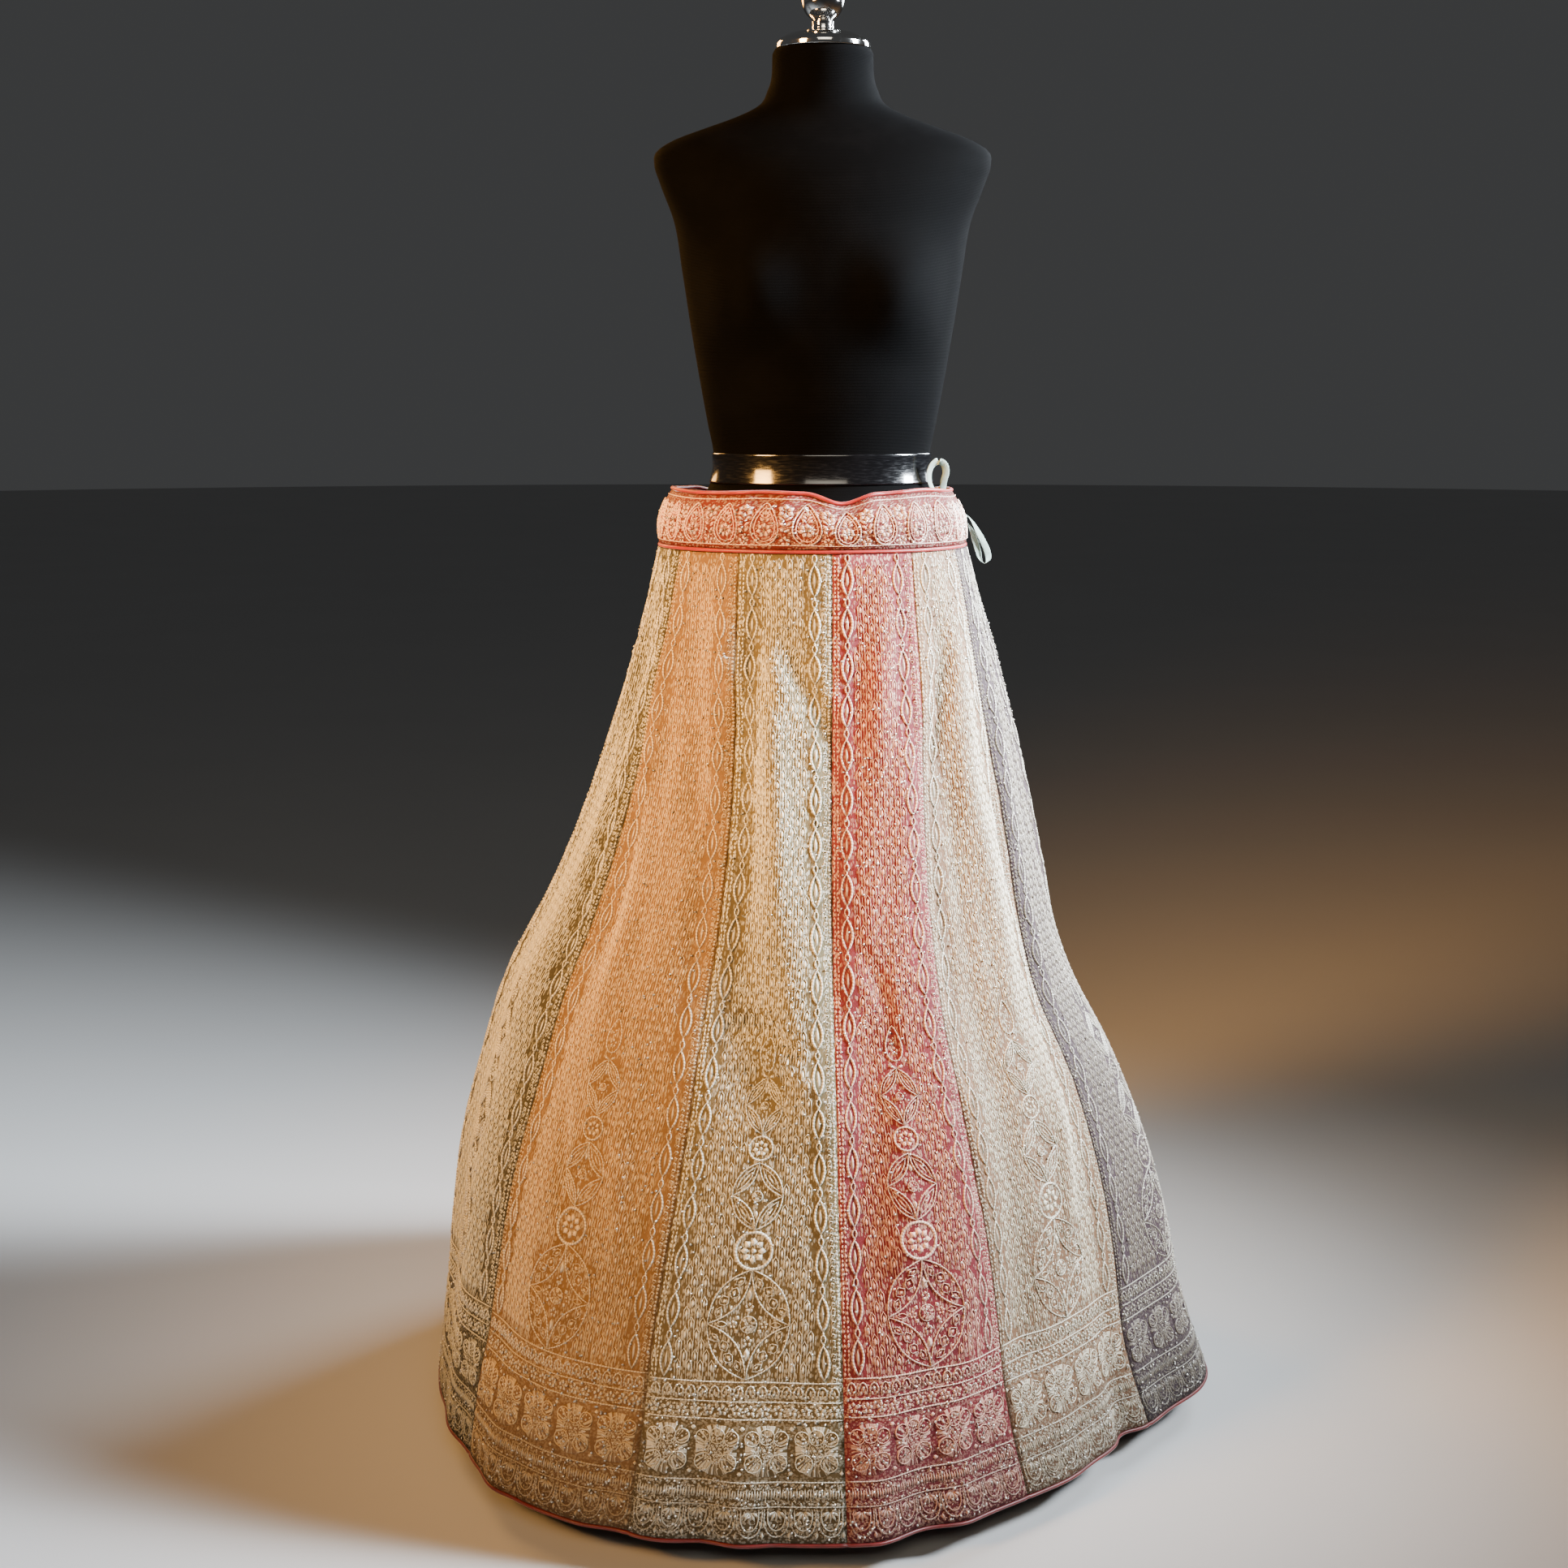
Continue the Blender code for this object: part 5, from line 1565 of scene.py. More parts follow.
class LehengaCloth(bpy.types.PropertyGroup):
    """Sizes and ground colours of the cloth. The grounds are the cloth's own hues, made darker still as painted shade
    in the gaps between the raised threads.
    """
    wall: length_setting("Wall", 0.0020, "Thickness of an embroidered, lined panel")
    crease: bpy.props.FloatProperty(name="Creases", description="Depth of the short creases, 1 is as hung",
                                    default=1.0, min=0.0, max=3.0, subtype="FACTOR")
    coral: colour_setting("Coral", (0.160, 0.015, 0.021), "Ground of the coral panels")
    peach: colour_setting("Peach", (0.200, 0.105, 0.055), "Ground of the peach panels")
    mauve: colour_setting("Mauve", (0.060, 0.037, 0.044), "Ground of the mauve panels")
    sage: colour_setting("Sage", (0.056, 0.047, 0.024), "Ground of the sage panels")
    tan: colour_setting("Tan", (0.200, 0.105, 0.036), "Ground of the tan panels")
    olive: colour_setting("Olive", (0.125, 0.094, 0.040), "Ground of the olive panels")
    band: colour_setting("Band", (0.125, 0.013, 0.010), "Ground of the waistband")
    piping: colour_setting("Piping", (0.290, 0.012, 0.011), "Satin piping")
    tape: colour_setting("Drawstring", (0.330, 0.450, 0.380), "Drawstring tape")


class LehengaThread(bpy.types.PropertyGroup):
    """Sizes and colours of the embroidery."""
    column_pitch: length_setting("Column pitch", 0.0060, "Distance between columns of the filling")
    row_pitch: length_setting("Row pitch", 0.0215, "Distance between arches in a column of the filling")
    chain_pitch: length_setting("Chain pitch", 0.0490, "Distance between links of the side chains")
    sequin_radius: length_setting("Sequin radius", 0.0014, "Radius of a sequin")
    sequins: bpy.props.IntProperty(name="Sequins", description="Sequins on each panel", default=720, min=0,
                                   max=3000)
    coral: colour_setting("On coral", (0.900, 0.505, 0.385), "Filling thread on the coral panels")
    peach: colour_setting("On peach", (0.870, 0.760, 0.570), "Filling thread on the peach panels")
    mauve: colour_setting("On mauve", (0.350, 0.300, 0.240), "Filling thread on the mauve panels")
    sage: colour_setting("On sage", (0.700, 0.660, 0.500), "Filling thread on the sage panels")
    tan: colour_setting("On tan", (0.740, 0.550, 0.300), "Filling thread on the tan panels")
    olive: colour_setting("On olive", (0.950, 0.920, 0.760), "Filling thread on the olive panels")
    cord: colour_setting("Cord", (0.950, 0.890, 0.760), "Pale cord that outlines the figures")
    sequin: colour_setting("Sequin", (0.930, 0.910, 0.860), "Foil of the sequins")
    bead: colour_setting("Bead", (0.100, 0.085, 0.070), "Dark beads in the flowers")


class LehengaForm(bpy.types.PropertyGroup):
    """Finishes of the dress form and its stand."""
    jersey: colour_setting("Jersey", (0.0010, 0.0010, 0.0011), "Cover of the form")
    belt: colour_setting("Belt", (0.0020, 0.0020, 0.0024), "Belt at the form's waist")
    chrome: colour_setting("Chrome", (0.800, 0.790, 0.770), "Neck cap and finial")
    steel: colour_setting("Steel", (0.0180, 0.0180, 0.0190), "Pole and base")


class LehengaStage(bpy.types.PropertyGroup):
    """The studio."""
    floor: colour_setting("Floor", (0.520, 0.515, 0.510), "Colour of the floor")
    air: colour_setting("Surroundings", (0.480, 0.490, 0.500), "Colour of the surroundings")
    warm: colour_setting("Warm light", (1.000, 0.490, 0.125), "Colour of the light from the left")
    cool: colour_setting("Cool light", (0.840, 0.920, 1.000), "Colour of the light from the right")
    camera_x: bpy.props.FloatProperty(name="Camera x", description="Sideways place of the camera",
                                      default=-0.0435, unit="LENGTH")
    camera_distance: length_setting("Camera distance", 2.55, "Distance of the camera from the axis")
    camera_height: length_setting("Camera height", 1.215, "Height of the camera")


# ------------------------------ making the pieces
def panel_cloth(number, deep):
    """The surface of one panel, from its hem up, by its number from 0 and the depth of its creases."""
    start = FIRST_SEAM + PANEL_ANGLE * number
    downs = np.linspace(1.0, 0.0, PANEL_ROWS + 1)
    return Cloth(even_rows(lambda angle, down: draped(angle, down, deep), start, start + PANEL_ANGLE, downs,
                           PANEL_COLUMNS))


def cloth_object(name, cloth, wall):
    """A cloth's grid as a mesh, with metres in its UV map and the distances from its two seams."""
    share = np.linspace(0.0, 1.0, cloth.points.shape[1])[None, :]
    across = (share - 0.5) * cloth.widths[:, None]
    up = np.broadcast_to(cloth.heights[:, None], across.shape)
    obj = make_mesh(name, cloth.points.reshape(-1, 3), grid_faces(*across.shape),
                    uvs=np.stack([across, up], axis=-1).reshape(-1, 2))
    for side, distance in (("from_left", share), ("from_right", 1.0 - share)):
        layer = obj.data.attributes.new(side, "FLOAT", "POINT")
        layer.data.foreach_set("value", (distance * cloth.widths[:, None]).astype(np.float32).ravel())
    shell = obj.modifiers.new("Wall", "SOLIDIFY")
    shell.thickness = wall
    shell.offset = -1.0
    return obj


def lay_filling(work, thread):
    """Columns of arches, every other one half a step up, wherever no chain, border or figure is."""
    cloth = work.cloth
    reach = int(cloth.widths.max() / 2 / thread.column_pitch) + 1
    columns = np.arange(-reach, reach + 1)
    rows = np.arange(int(cloth.length / thread.row_pitch) + 2)
    column, row = (part.ravel() for part in np.meshgrid(columns, rows))
    x = column * thread.column_pitch
    y = BORDER_TOP + ARCH_START + (row - 0.5 * (column % 2)) * thread.row_pitch
    keep = (y - ARCH_BELOW > BORDER_TOP - ARCH_OVERLAP) & (y + ARCH_ABOVE < cloth.length)
    for side, chain in zip((1, -1), CHAINS):
        keep &= cloth.width(y) / 2 + side * x > chain + FILL_CLEAR
    for *_, middle, half_width, half_height in FIGURES:
        off_x = x / (half_width + ARCH_MARGIN_ACROSS)
        off_y = (y - ARCH_DROP - middle) / (half_height + ARCH_MARGIN_ALONG)
        keep &= np.hypot(off_x, off_y) > 1.0
    work.lay(fill_stitch(), 0.5, x[keep], y[keep])


def lay_side_bands(work, thread, numbers):
    """A chain of pointed links beside each seam, and close stitches between the chain and the seam.

    On the left they are two columns of upright stitches, on the right a column of satin bars and one of
    curls.
    """
    cloth = work.cloth
    upright = Shape().leaf((0.0050, 0.0028), (0.0, -0.0025), 0.0, 0.0013, FILL_THREAD, 2, 0.6)
    bar = Shape().leaf((0.0048, 0.0034), (0.0024, 0.0), 90.0, 0.0014, CORD, 2, 0.5)
    curl = Shape().thread(arc_path(0.0021, -60, 200, 4), 0.0014, 0.0012, finish=FILL_THREAD)
    curl.leaf((0.0034, 0.0016), (0.0, -0.0030), 0.0, 0.0011, CORD)
    for share, side, stitch, from_seam, pitch in (
            (0.0, 1, upright, 0.0026, 0.0047), (0.0, 1, upright, 0.0066, 0.0047),
            (1.0, -1, bar, 0.0036, 0.0041), (1.0, -1, curl, 0.0091, 0.0064)):
        up = np.arange(BORDER_TOP + SIDE_MARGIN_BELOW, cloth.length - SIDE_MARGIN_ABOVE, pitch)
        up += numbers.uniform(-STRAY_ALONG, STRAY_ALONG, len(up))
        across = side * (from_seam + numbers.uniform(-STRAY_ACROSS, STRAY_ACROSS, len(up)))
        size = numbers.uniform(1.0 - STRAY_SIZE, 1.0 + STRAY_SIZE, len(up))
        work.lay(stitch, share, across, up, size, numbers.uniform(-STRAY_TURN, STRAY_TURN, len(up)))
    count = round((cloth.length - BORDER_TOP) / thread.chain_pitch)
    links = BORDER_TOP + (np.arange(count) + LINK_START) * (cloth.length - BORDER_TOP) / count
    for share, side, chain in ((0.0, 1, CHAINS[0]), (1.0, -1, CHAINS[1])):
        work.lay(chain_link(), share, side * chain, links)


def couched_line(half, points, thick):
    """A level line of cord, so far to each side."""
    line = np.column_stack([np.linspace(-half, half, points), np.zeros(points)])
    return Shape().thread(line, thick, LINE_HEIGHT, finish=CORD)


def lay_border(work, numbers):
    """The hem border: two rows of small figures, the band of blocks, a narrow band and the scallops."""
    cloth = work.cloth
    for up, thick in BORDER_LINES:
        work.lay(couched_line(cloth.width(up) / 2 - LINE_END, LINE_POINTS, thick), up=up)
    for figure, takes_pitch, shrinks, measured, laid, pitch in BORDER_ROWS:
        width = cloth.width(measured)
        room = width - 2 * BORDER_MARGIN
        count = max(1, round(room / pitch))
        step = room / count
        places = 0.5 + ((np.arange(count) + 0.5) * step + BORDER_MARGIN - width / 2) / width
        shape = figure(step) if takes_pitch else figure()
        work.lay(shape, places, up=laid, size=min(1.0, step / pitch) if shrinks else 1.0)

    up = numbers.uniform(*HEM_DASH_HEIGHTS, HEM_DASHES)
    x = numbers.uniform(-0.5, 0.5, HEM_DASHES) * (cloth.width(up) - DASH_MARGIN)
    turn = numbers.uniform(0.0, math.pi, HEM_DASHES)
    dash = Shape().leaf((0.0046, 0.0016), (0.0, -0.0023), 0.0, 0.0009, FILL_THREAD)
    work.lay(dash, 0.5, x, up, numbers.uniform(*HEM_DASH_SIZES, HEM_DASHES), turn)


def leaning(numbers, count, usual, most):
    """Slopes of sequins in two directions: normally spread about level and kept within a limit."""
    return np.clip(numbers.normal(0.0, usual, (2, count)), -most, most)


def sequin_piece(name, cloth, thread, slot, x, up, turn, lean):
    """Sequins at places on a cloth, each turned and leant its own way."""
    work = Threadwork(cloth)
    sequin = Shape().lens(thread.sequin_radius, SEQUIN_SIDES, SEQUIN_LIFT, SEQUIN_DOME)
    work.lay(sequin, 0.5, x, up, turn=turn, tilt=lean)
    foil = material(foil_sequin, "sequin foil", thread.sequin)
    return finish_piece(work.mesh(name, smooth=False), (foil,), slot)


def thread_finishes(thread, colour, ground):
    """The materials of a piece of threadwork, in the order of its slots."""
    filling = tuple(getattr(thread, colour))
    cord = shade([CORD_OWN * a + (1 - CORD_OWN) * b for a, b in zip(thread.cord, filling)], 0.90)
    # the outline cord's last number darkens its twist's grooves to half: painted shade
    return (material(silk_thread, f"filling thread on {colour}", shade(filling, 0.90), filling),
            material(silk_thread, f"outline cord on {colour}", cord, shade(cord, 1.12), 0.40, 0.17, 0.50),
            material(glass_bead, "dark beads", thread.bead),
            material(stitched_patch, f"stitched patch on {colour}", ground, filling))


def make_panel(number, cloth_settings, thread):
    """One panel: its cloth, its threadwork and its sequins."""
    colour = COLOUR_NAMES[number % len(COLOUR_NAMES)]
    name, slot = f"panel_{number + 1:02d}_{colour}", f"embroidered_{colour}"
    ground = tuple(getattr(cloth_settings, colour))
    cloth = panel_cloth(number, cloth_settings.crease)
    numbers = np.random.default_rng(PANEL_SEED + number)

    work = Threadwork(cloth)
    lay_filling(work, thread)
    lay_side_bands(work, thread, numbers)
    for up, figure, sizes, *_ in FIGURES:
        work.lay(figure(*sizes), up=up)
    lay_border(work, numbers)
    threads = finish_piece(work.mesh(f"{name}_threadwork"), thread_finishes(thread, colour, ground), slot)

    count = thread.sequins
    near_hem = numbers.uniform(0.0, 1.0, count) < NEAR_HEM_SHARE
    low = numbers.uniform(SEQUIN_EDGE, BORDER_TOP, count)
    up = np.where(near_hem, low, numbers.uniform(BORDER_TOP, cloth.length - SEQUIN_EDGE, count))
    x = numbers.uniform(-0.5, 0.5, count) * (cloth.width(up) - SEQUIN_MARGIN)
    lean = leaning(numbers, count, 0.42, 0.8)
    sequins = sequin_piece(f"{name}_sequins", cloth, thread, slot, x, up,
                           numbers.uniform(0.0, math.pi, count), lean)

    shell = cloth_object(f"{name}_cloth", cloth, cloth_settings.wall)
    stuff = material(embroidered_cloth, f"embroidered {colour} cloth", ground, getattr(thread, colour))
    finish_piece(shell, (stuff,), slot, name)
    width = float(cloth.widths.max())
    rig.sheet(shell, flat=(round(width, 3), round(cloth.length, 3)), held="hung",
             rests_on=["waistband_cloth"], area=round(min(cloth.area, width * cloth.length), 4),
             with_pieces=[threads, sequins])


class LEHENGA_OT_stage(bpy.types.Operator):
    """Make the camera, the lights, the surroundings and the floor"""
    bl_idname = "lehenga.stage"
    bl_label = "Studio"

    def execute(self, context):
        scene = context.scene
        stage = scene.lehenga_stage
        view = bpy.data.cameras.new("camera")
        view.lens = LENS
        view.sensor_width = SENSOR
        view.clip_end = CAMERA_REACH
        camera = bpy.data.objects.new("camera", view)
        camera.location = (stage.camera_x, -stage.camera_distance, stage.camera_height)
        camera.rotation_euler = (math.radians(90.0 - CAMERA_DIP), 0.0, 0.0)
        scene.collection.objects.link(camera)
        scene.camera = camera

        lights = (
            # name, place, aimed at, width, height, power, colour
            ("warm side light", (-1.56, -1.34, 1.80), (0.0, 0.0, 1.06), 0.6, 1.0, 27.0, stage.warm),
            ("cool side light", (2.00, -0.21, 2.00), (0.05, 0.0, 1.16), 0.5, 1.0, 88.0, stage.cool),
            ("front fill", (0.2, -3.20, 2.80), (0.0, 0.0, 0.95), 2.0, 1.4, 6.5, (1.0, 0.90, 0.74)),
            ("back warm light", (-1.60, 1.70, 1.95), (0.0, 0.0, 0.92), 0.9, 1.3, 9.0, stage.warm),
            ("back cool light", (1.65, 1.55, 1.95), (0.0, 0.0, 0.92), 0.9, 1.3, 17.0, stage.cool),
        )
        for name, place, aim, width, height, power_in_watts, colour in lights:
            lamp = bpy.data.lights.new(name, "AREA")
            lamp.shape = "RECTANGLE"
            lamp.size, lamp.size_y = width, height
            lamp.energy = power_in_watts
            lamp.color = tuple(colour)
            lamp.spread = math.radians(LAMP_SPREAD)
            obj = bpy.data.objects.new(name, lamp)
            obj.location = place
            direction = obj.location.copy()
            direction[:] = [b - a for a, b in zip(place, aim)]
            obj.rotation_euler = direction.to_track_quat("-Z", "Y").to_euler()
            scene.collection.objects.link(obj)

        world = bpy.data.worlds.new("surroundings")
        world.use_nodes = True
        background = world.node_tree.nodes["Background"]
        background.inputs["Color"].default_value = (*stage.air, 1.0)
        background.inputs["Strength"].default_value = AIR_STRENGTH
        scene.world = world

        a = circle(FLOOR_SIDES)
        points = np.full((len(a) + 1, 3), (0.0, 0.0, -FLOOR_DROP))
        points[:-1, :2] = FLOOR_RADIUS * np.column_stack([np.sin(a), -np.cos(a)])
        floor = make_mesh("floor", points, (), fan(len(a), np.arange(len(a))))
        floor.data.materials.append(material(floor_paint, "pale floor", stage.floor))
        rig.stage(floor)
        return {"FINISHED"}


class LEHENGA_OT_drawstring(bpy.types.Operator):
    """Make the two loops of the drawstring's bow and its knot"""
    bl_idname = "lehenga.drawstring"
    bl_label = "Drawstring"

    def execute(self, context):
        tape = material(woven_tape, "mint woven tape", context.scene.lehenga_cloth.tape)
        loops = []
        for which, route in (("upper", DRAWSTRING_UPPER), ("lower", DRAWSTRING_LOWER)):
            node = f"drawstring_{which}_loop"
            points, pointing = smooth_route(route, TAPE_STEPS)
            a = np.radians(pointing)
            across = np.column_stack([np.cos(a), np.sin(a), np.zeros_like(a)])
            loop = swept(f"{node}_tape", points, across, TAPE_WIDTH, TAPE_THICKNESS, TAPE_SIDES)
            loops.append((finish_piece(loop, (tape,), "mint_tape", node), points))

        u = np.linspace(-0.5 * math.pi, 0.5 * math.pi, KNOT_GRID[0])[1:-1][:, None]
        v = circle(KNOT_GRID[1])[None, :]
        wrap = 1.0 + KNOT_WRAP * np.cos(5 * u + 2 * v)
        x = 0.5 * KNOT_SIZE[0] * power(np.cos(u), 0.45) * power(np.sin(v), 0.55) * wrap
        y = -0.5 * KNOT_SIZE[1] * power(np.cos(u), 0.45) * power(np.cos(v), 0.55) * wrap
        z = np.broadcast_to(0.5 * KNOT_SIZE[2] * power(np.sin(u), 0.6), x.shape)
        centre = np.array(KNOT_CENTRE)
        end = np.array([0.0, 0.0, 0.5 * KNOT_SIZE[2]])
        knot = capped_rings("drawstring_knot_tape", np.stack([x, y, z], axis=-1) + centre, centre - end,
                            centre + end, 80.0)
        finish_piece(knot, (tape,), "mint_tape", "drawstring_knot")
        for loop, points in loops:
            length = round(float(run_along(points)[-1]), 4)
            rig.cord(loop, exit=points[0].tolist(), length=length, diameter=TAPE_WIDTH,
                    far_end="object", stiffness="limp", lay="hanging", path=points.tolist())
        return {"FINISHED"}


class LEHENGA_OT_panels(bpy.types.Operator):
    """Make the twelve panels with their threadwork and sequins"""
    bl_idname = "lehenga.panels"
    bl_label = "Embroidered panels"

    def execute(self, context):
        for number in range(PANELS):
            make_panel(number, context.scene.lehenga_cloth, context.scene.lehenga_thread)
        return {"FINISHED"}


class LEHENGA_OT_waistband(bpy.types.Operator):
    """Make the waistband and its embroidery"""
    bl_idname = "lehenga.waistband"
    bl_label = "Waistband"

    def execute(self, context):
        settings, thread = context.scene.lehenga_cloth, context.scene.lehenga_thread
        columns, rows = BAND_GRID
        cloth = Cloth(waistband(band_angles(columns + 1)[None, :], np.linspace(0.0, 1.0, rows + 1)[:, None]))
        ground, slot = tuple(settings.band), "embroidered_red"
        numbers = np.random.default_rng(BAND_SEED)
        width = float(cloth.widths.mean())
        count = round(width / DROP_PITCH)
        places = (np.arange(count) + 0.5) / count

        work = Threadwork(cloth)
        work.lay(band_teardrop(), places, up=DROP_HEIGHT)
        work.lay(band_spray(), places[:-1] + 0.5 / count, up=DROP_HEIGHT)
        for up, thick in ((0.0046, 0.0014), (cloth.length - 0.0052, 0.0019)):
            work.lay(couched_line(width / 2 - BAND_LINE_END, BAND_LINE_POINTS, thick), up=up)
        dash = Shape().leaf((0.0040, 0.0015), (0.0, -0.0020), 0.0, 0.0012, FILL_THREAD)
        x = numbers.uniform(-0.5, 0.5, BAND_DASHES) * (width - DASH_MARGIN)
        up = numbers.uniform(*BAND_DASH_HEIGHTS, BAND_DASHES)
        work.lay(dash, 0.5, x, up, turn=numbers.uniform(0.0, math.pi, BAND_DASHES))
        finishes = thread_finishes(thread, "coral", ground)
        threads = finish_piece(work.mesh("waistband_threadwork"), finishes, slot)

        x = numbers.uniform(-0.5, 0.5, BAND_SEQUINS) * (width - DASH_MARGIN)
        up = numbers.uniform(*BAND_SEQUIN_HEIGHTS, BAND_SEQUINS)
        turn = numbers.uniform(0.0, math.pi, BAND_SEQUINS)
        lean = leaning(numbers, BAND_SEQUINS, 0.3, 0.6)
        sequins = sequin_piece("waistband_sequins", cloth, thread, slot, x, up, turn, lean)

        shell = cloth_object("waistband_cloth", cloth, BAND_WALL)
        shell.modifiers["Wall"].material_offset = 1
        shell.modifiers["Wall"].material_offset_rim = 1
        # the band's fine stitches take the coral thread at half its brightness: painted shade on the ground between
        # the raised motifs
        face = material(embroidered_cloth, "embroidered red cloth", ground, shade(thread.coral, 0.5))
        facing = material(satin_piping, "red satin facing", shade(settings.piping, 0.9))
        finish_piece(shell, (face, facing), slot, "waistband")
        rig.sheet(shell, flat=(round(width, 3), round(cloth.length, 3)), held="hung",
                 rests_on=["form_torso_cover"], with_pieces=[threads, sequins])
        return {"FINISHED"}


def upright_cord(node, path, closed, red):
    """A round corded edge along a path whose width lies level."""
    across = np.column_stack([path[:, 0], path[:, 1], np.zeros(len(path))])
    cord = swept(f"{node}_satin", path, across, 2 * PIPING_RADIUS, 2 * PIPING_RADIUS, PIPING_SIDES, closed)
    finish_piece(cord, (red,), "red_piping", node)


class LEHENGA_OT_piping(bpy.types.Operator):
    """Make the corded edges of the hem and the waistband"""
    bl_idname = "lehenga.piping"
    bl_label = "Piping"

    def execute(self, context):
        settings = context.scene.lehenga_cloth
        red = material(satin_piping, "coral red satin", settings.piping)
        clear = PIPING_RADIUS + PIPING_GAP
        angles = FIRST_SEAM + circle(HEM_STEPS, 360.0)
        edge = draped(angles, 1.0, settings.crease)
        along = unit(edge - draped(angles, NEAR_HEM, settings.crease))
        inwards = unit(np.cross(way_ahead(edge, True), along))
        towards_axis = np.sum(inwards[:, :2] * edge[:, :2], axis=1, keepdims=True) < 0
        inwards = np.where(towards_axis, inwards, -inwards)
        upright_cord("hem_piping", edge + along * clear + inwards * settings.wall / 2, True, red)

        angles = band_angles(BAND_STEPS)
        a = np.radians(angles)
        inwards = np.column_stack([-np.sin(a), np.cos(a), np.zeros_like(a)])
        upper = waistband(angles, 1.0) + inwards * BAND_WALL / 2
        upper[:, 2] += clear
        upright_cord("waistband_piping_top", upper, False, red)
        lower = waistband(angles, 0.0) + inwards * settings.wall / 2
        lower[:, 2] = (SKIRT_TOP + BAND_BOTTOM) / 2
        upright_cord("waistband_piping_bottom", lower, False, red)
        return {"FINISHED"}


class LEHENGA_OT_form(bpy.types.Operator):
    """Make the dress form's cover and its belt"""
    bl_idname = "lehenga.form"
    bl_label = "Dress form"

    def execute(self, context):
        form = context.scene.lehenga_form
        rows, columns = TORSO_GRID
        bottom, top = TORSO[0][0], TORSO[-1][0]
        angles = circle(columns, 360.0)[None, :]
        heights = np.linspace(bottom, top, rows)
        seam_height, seam_width, seam_depth = NECK_SEAM
        edge_below, edge_in = COVER_EDGE
        neck_seam = -seam_depth * bump(heights - seam_height, seam_width)
        edge = -edge_in * (1.0 - ramp(top - heights, 0.0, edge_below))
        rings = torso(angles, heights[:, None], (neck_seam + edge)[:, None])
        cover = capped_rings("form_torso_cover", rings, (0.0, 0.0, bottom), (0.0, 0.0, top))
        finish_piece(cover, (material(jersey, "black jersey", form.jersey),), "black_jersey", "form_torso")

        rows, columns = BELT_GRID
        section = np.radians(circle(rows, 360.0))
        level = (BELT_TOP + BELT_BOTTOM) / 2 + (BELT_TOP - BELT_BOTTOM) / 2 * power(np.sin(section), 0.35)
        out = BELT_GAP + BELT_WALL * (0.5 + 0.5 * power(np.cos(section), 0.4))
        angles = circle(columns, 360.0)[None, :]
        rings = torso(angles, level[:, None], out[:, None])
        belt = make_mesh("form_waist_belt_skin", rings.reshape(-1, 3),
                         grid_faces(rows, columns, closed=True, looped=True))
        gloss = material(gloss_plastic, "gloss black", form.belt)
        finish_piece(belt, (gloss,), "gloss_black", "form_waist_belt")
        return {"FINISHED"}


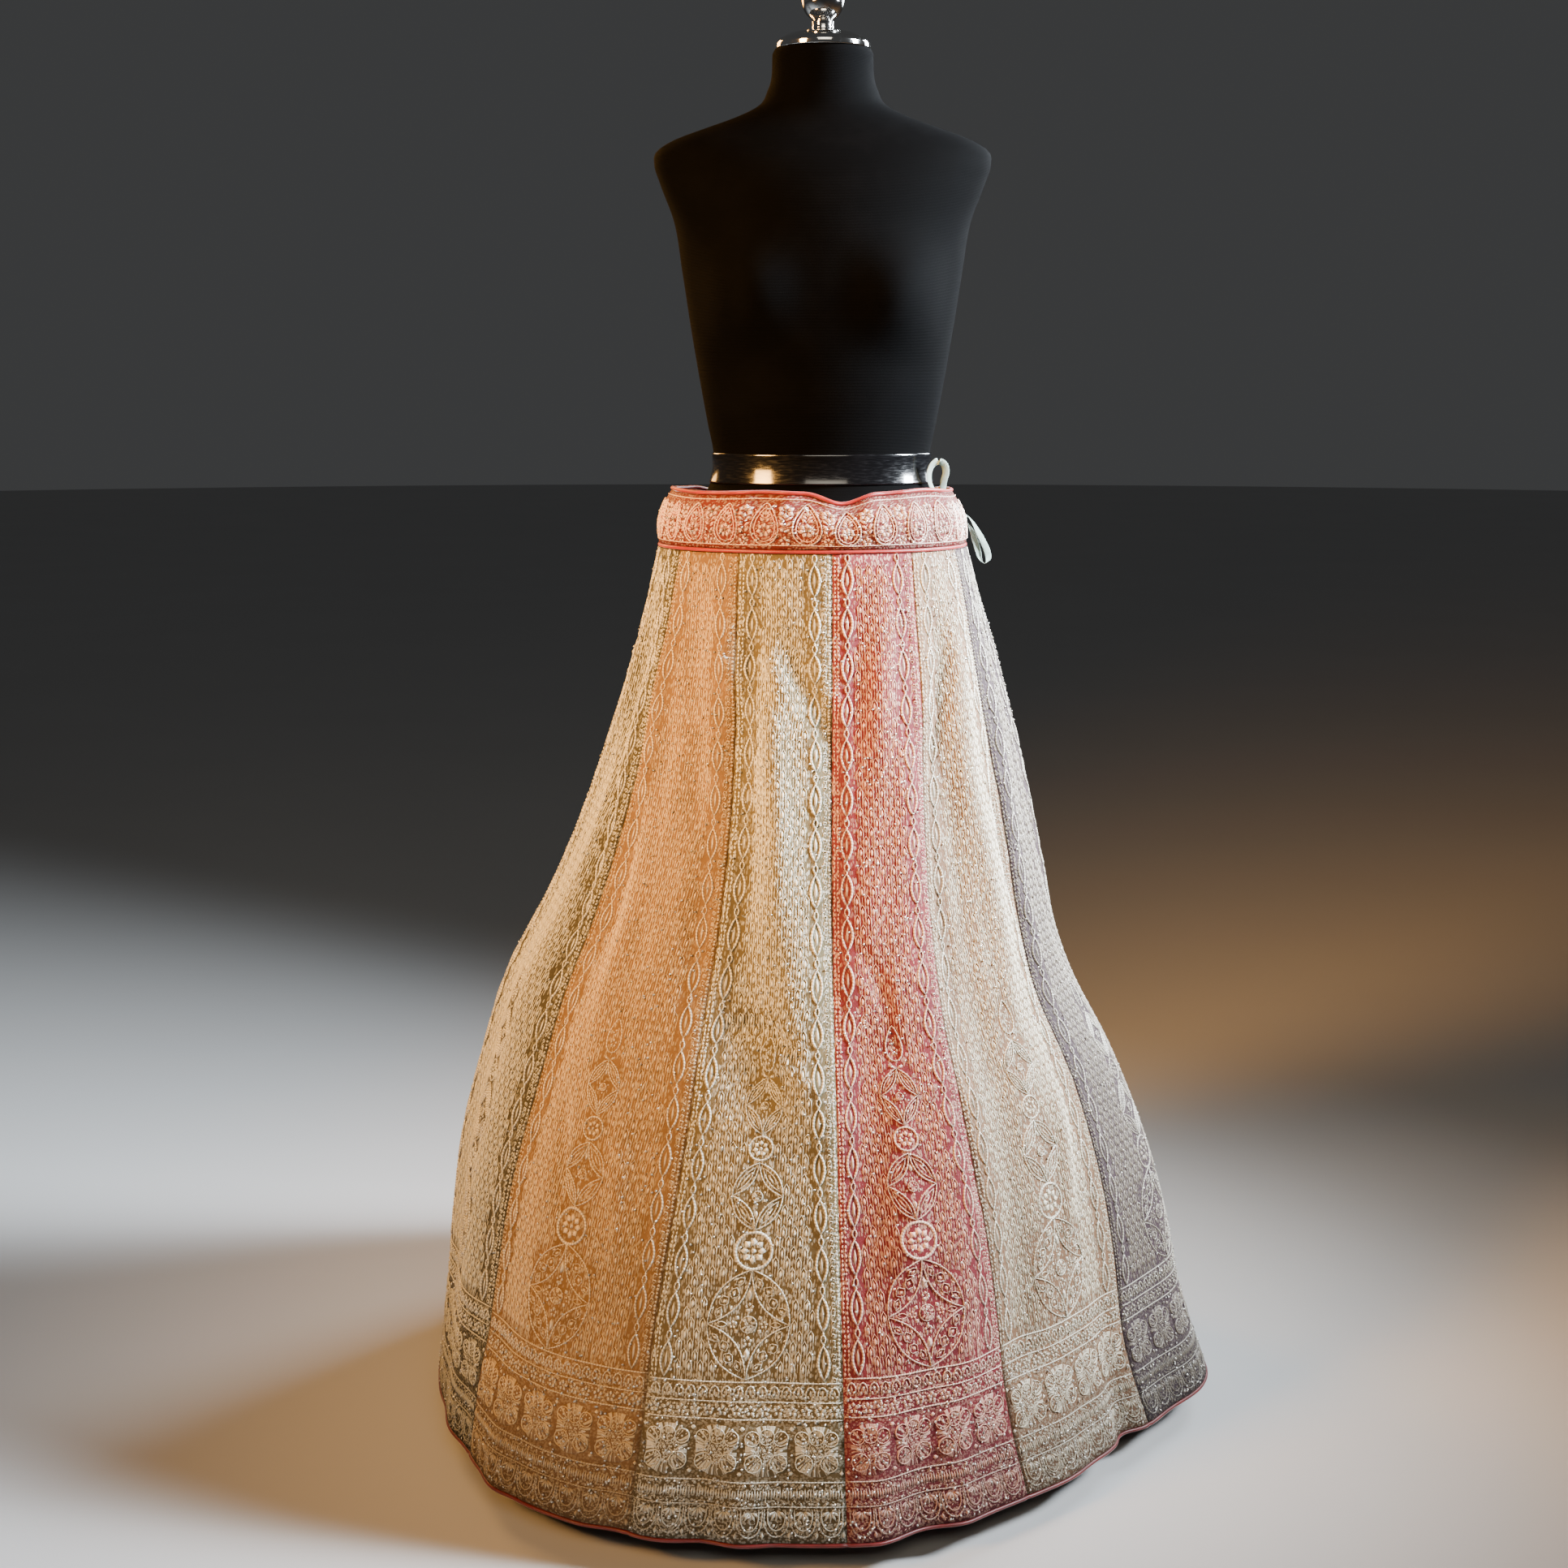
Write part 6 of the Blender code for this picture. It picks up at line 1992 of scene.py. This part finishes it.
class LEHENGA_OT_fittings(bpy.types.Operator):
    """Make the neck cap, the finial, the pole and the base"""
    bl_idname = "lehenga.fittings"
    bl_label = "Fittings and stand"

    def execute(self, context):
        form = context.scene.lehenga_form
        bright = material(chrome, "chrome plate", form.chrome)
        steel = material(powder_coat, "black powder coat", form.steel)
        swing = np.radians(np.linspace(FINIAL_KNOB_START, 90.0, KNOB_STEPS))
        knob = FINIAL_KNOB_RADIUS * np.column_stack([np.cos(swing), np.sin(swing)])
        knob += (0.0, FINIAL_KNOB_CENTRE)
        knob[-1, 0] = 0.0
        pole_foot, pole_head = BASE_THICKNESS + GAP, TORSO[0][0] - GAP
        pole = ((0.0, pole_foot), (POLE_RADIUS, pole_foot), (POLE_RADIUS, pole_head), (0.0, pole_head))
        base = ((0.0, 0.0), (BASE_RADIUS, 0.0), (BASE_RADIUS, BASE_THICKNESS), (0.0, BASE_THICKNESS))
        for node, ending, profile, finish, slot in (
                ("form_neck_cap", "plate", rounded_profile(CAP_PROFILE, 0.0012), bright, "chrome"),
                ("form_finial", "plate", [*rounded_profile(FINIAL_FOOT, 0.0008), *knob], bright, "chrome"),
                ("stand_pole", "tube", rounded_profile(pole, 0.0010), steel, "black_metal"),
                ("stand_base", "plate", rounded_profile(base, 0.0030, 5), steel, "black_metal")):
            finish_piece(turned(f"{node}_{ending}", profile), (finish,), slot, node)
        return {"FINISHED"}


class LEHENGA_PT_panel(bpy.types.Panel):
    """Settings and steps for the lehenga skirt"""
    bl_label = "Lehenga skirt"
    bl_idname = "LEHENGA_PT_panel"
    bl_space_type = "VIEW_3D"
    bl_region_type = "UI"
    bl_category = "Lehenga"

    def draw(self, context):
        for group, title in (("lehenga_cloth", "Cloth"), ("lehenga_thread", "Embroidery"),
                             ("lehenga_form", "Form"), ("lehenga_stage", "Studio")):
            box = self.layout.box()
            box.label(text=title)
            settings = getattr(context.scene, group)
            for key in settings.__annotations__:
                box.prop(settings, key)
        for step in STEPS:
            self.layout.operator(step.bl_idname)


GROUPS = {"lehenga_cloth": LehengaCloth, "lehenga_thread": LehengaThread, "lehenga_form": LehengaForm,
          "lehenga_stage": LehengaStage}
STEPS = (LEHENGA_OT_stage, LEHENGA_OT_drawstring, LEHENGA_OT_panels, LEHENGA_OT_waistband, LEHENGA_OT_piping,
         LEHENGA_OT_form, LEHENGA_OT_fittings)


def register():
    """Registers the settings, the steps and the panel of the sidebar."""
    for made in (*GROUPS.values(), *STEPS, LEHENGA_PT_panel):
        bpy.utils.register_class(made)
    for key, group in GROUPS.items():
        setattr(bpy.types.Scene, key, bpy.props.PointerProperty(type=group))


def unregister():
    """Takes back what register adds."""
    for key in GROUPS:
        delattr(bpy.types.Scene, key)
    for made in reversed((*GROUPS.values(), *STEPS, LEHENGA_PT_panel)):
        bpy.utils.unregister_class(made)


def main():
    """Makes every piece in order and writes the sizes."""
    register()
    bpy.ops.lehenga.stage()
    bpy.ops.lehenga.drawstring()
    bpy.ops.lehenga.panels()
    bpy.ops.lehenga.waistband()
    bpy.ops.lehenga.piping()
    bpy.ops.lehenga.form()
    bpy.ops.lehenga.fittings()
    size = {"cad": [[float(x) for x in corner] for corner in CAD_BOX],
            "visual": [[float(x) for x in corner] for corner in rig.bounds()]}
    with open(SIZE_FILE, "w") as file:
        json.dump(size, file)


if __name__ == "__main__":
    main()
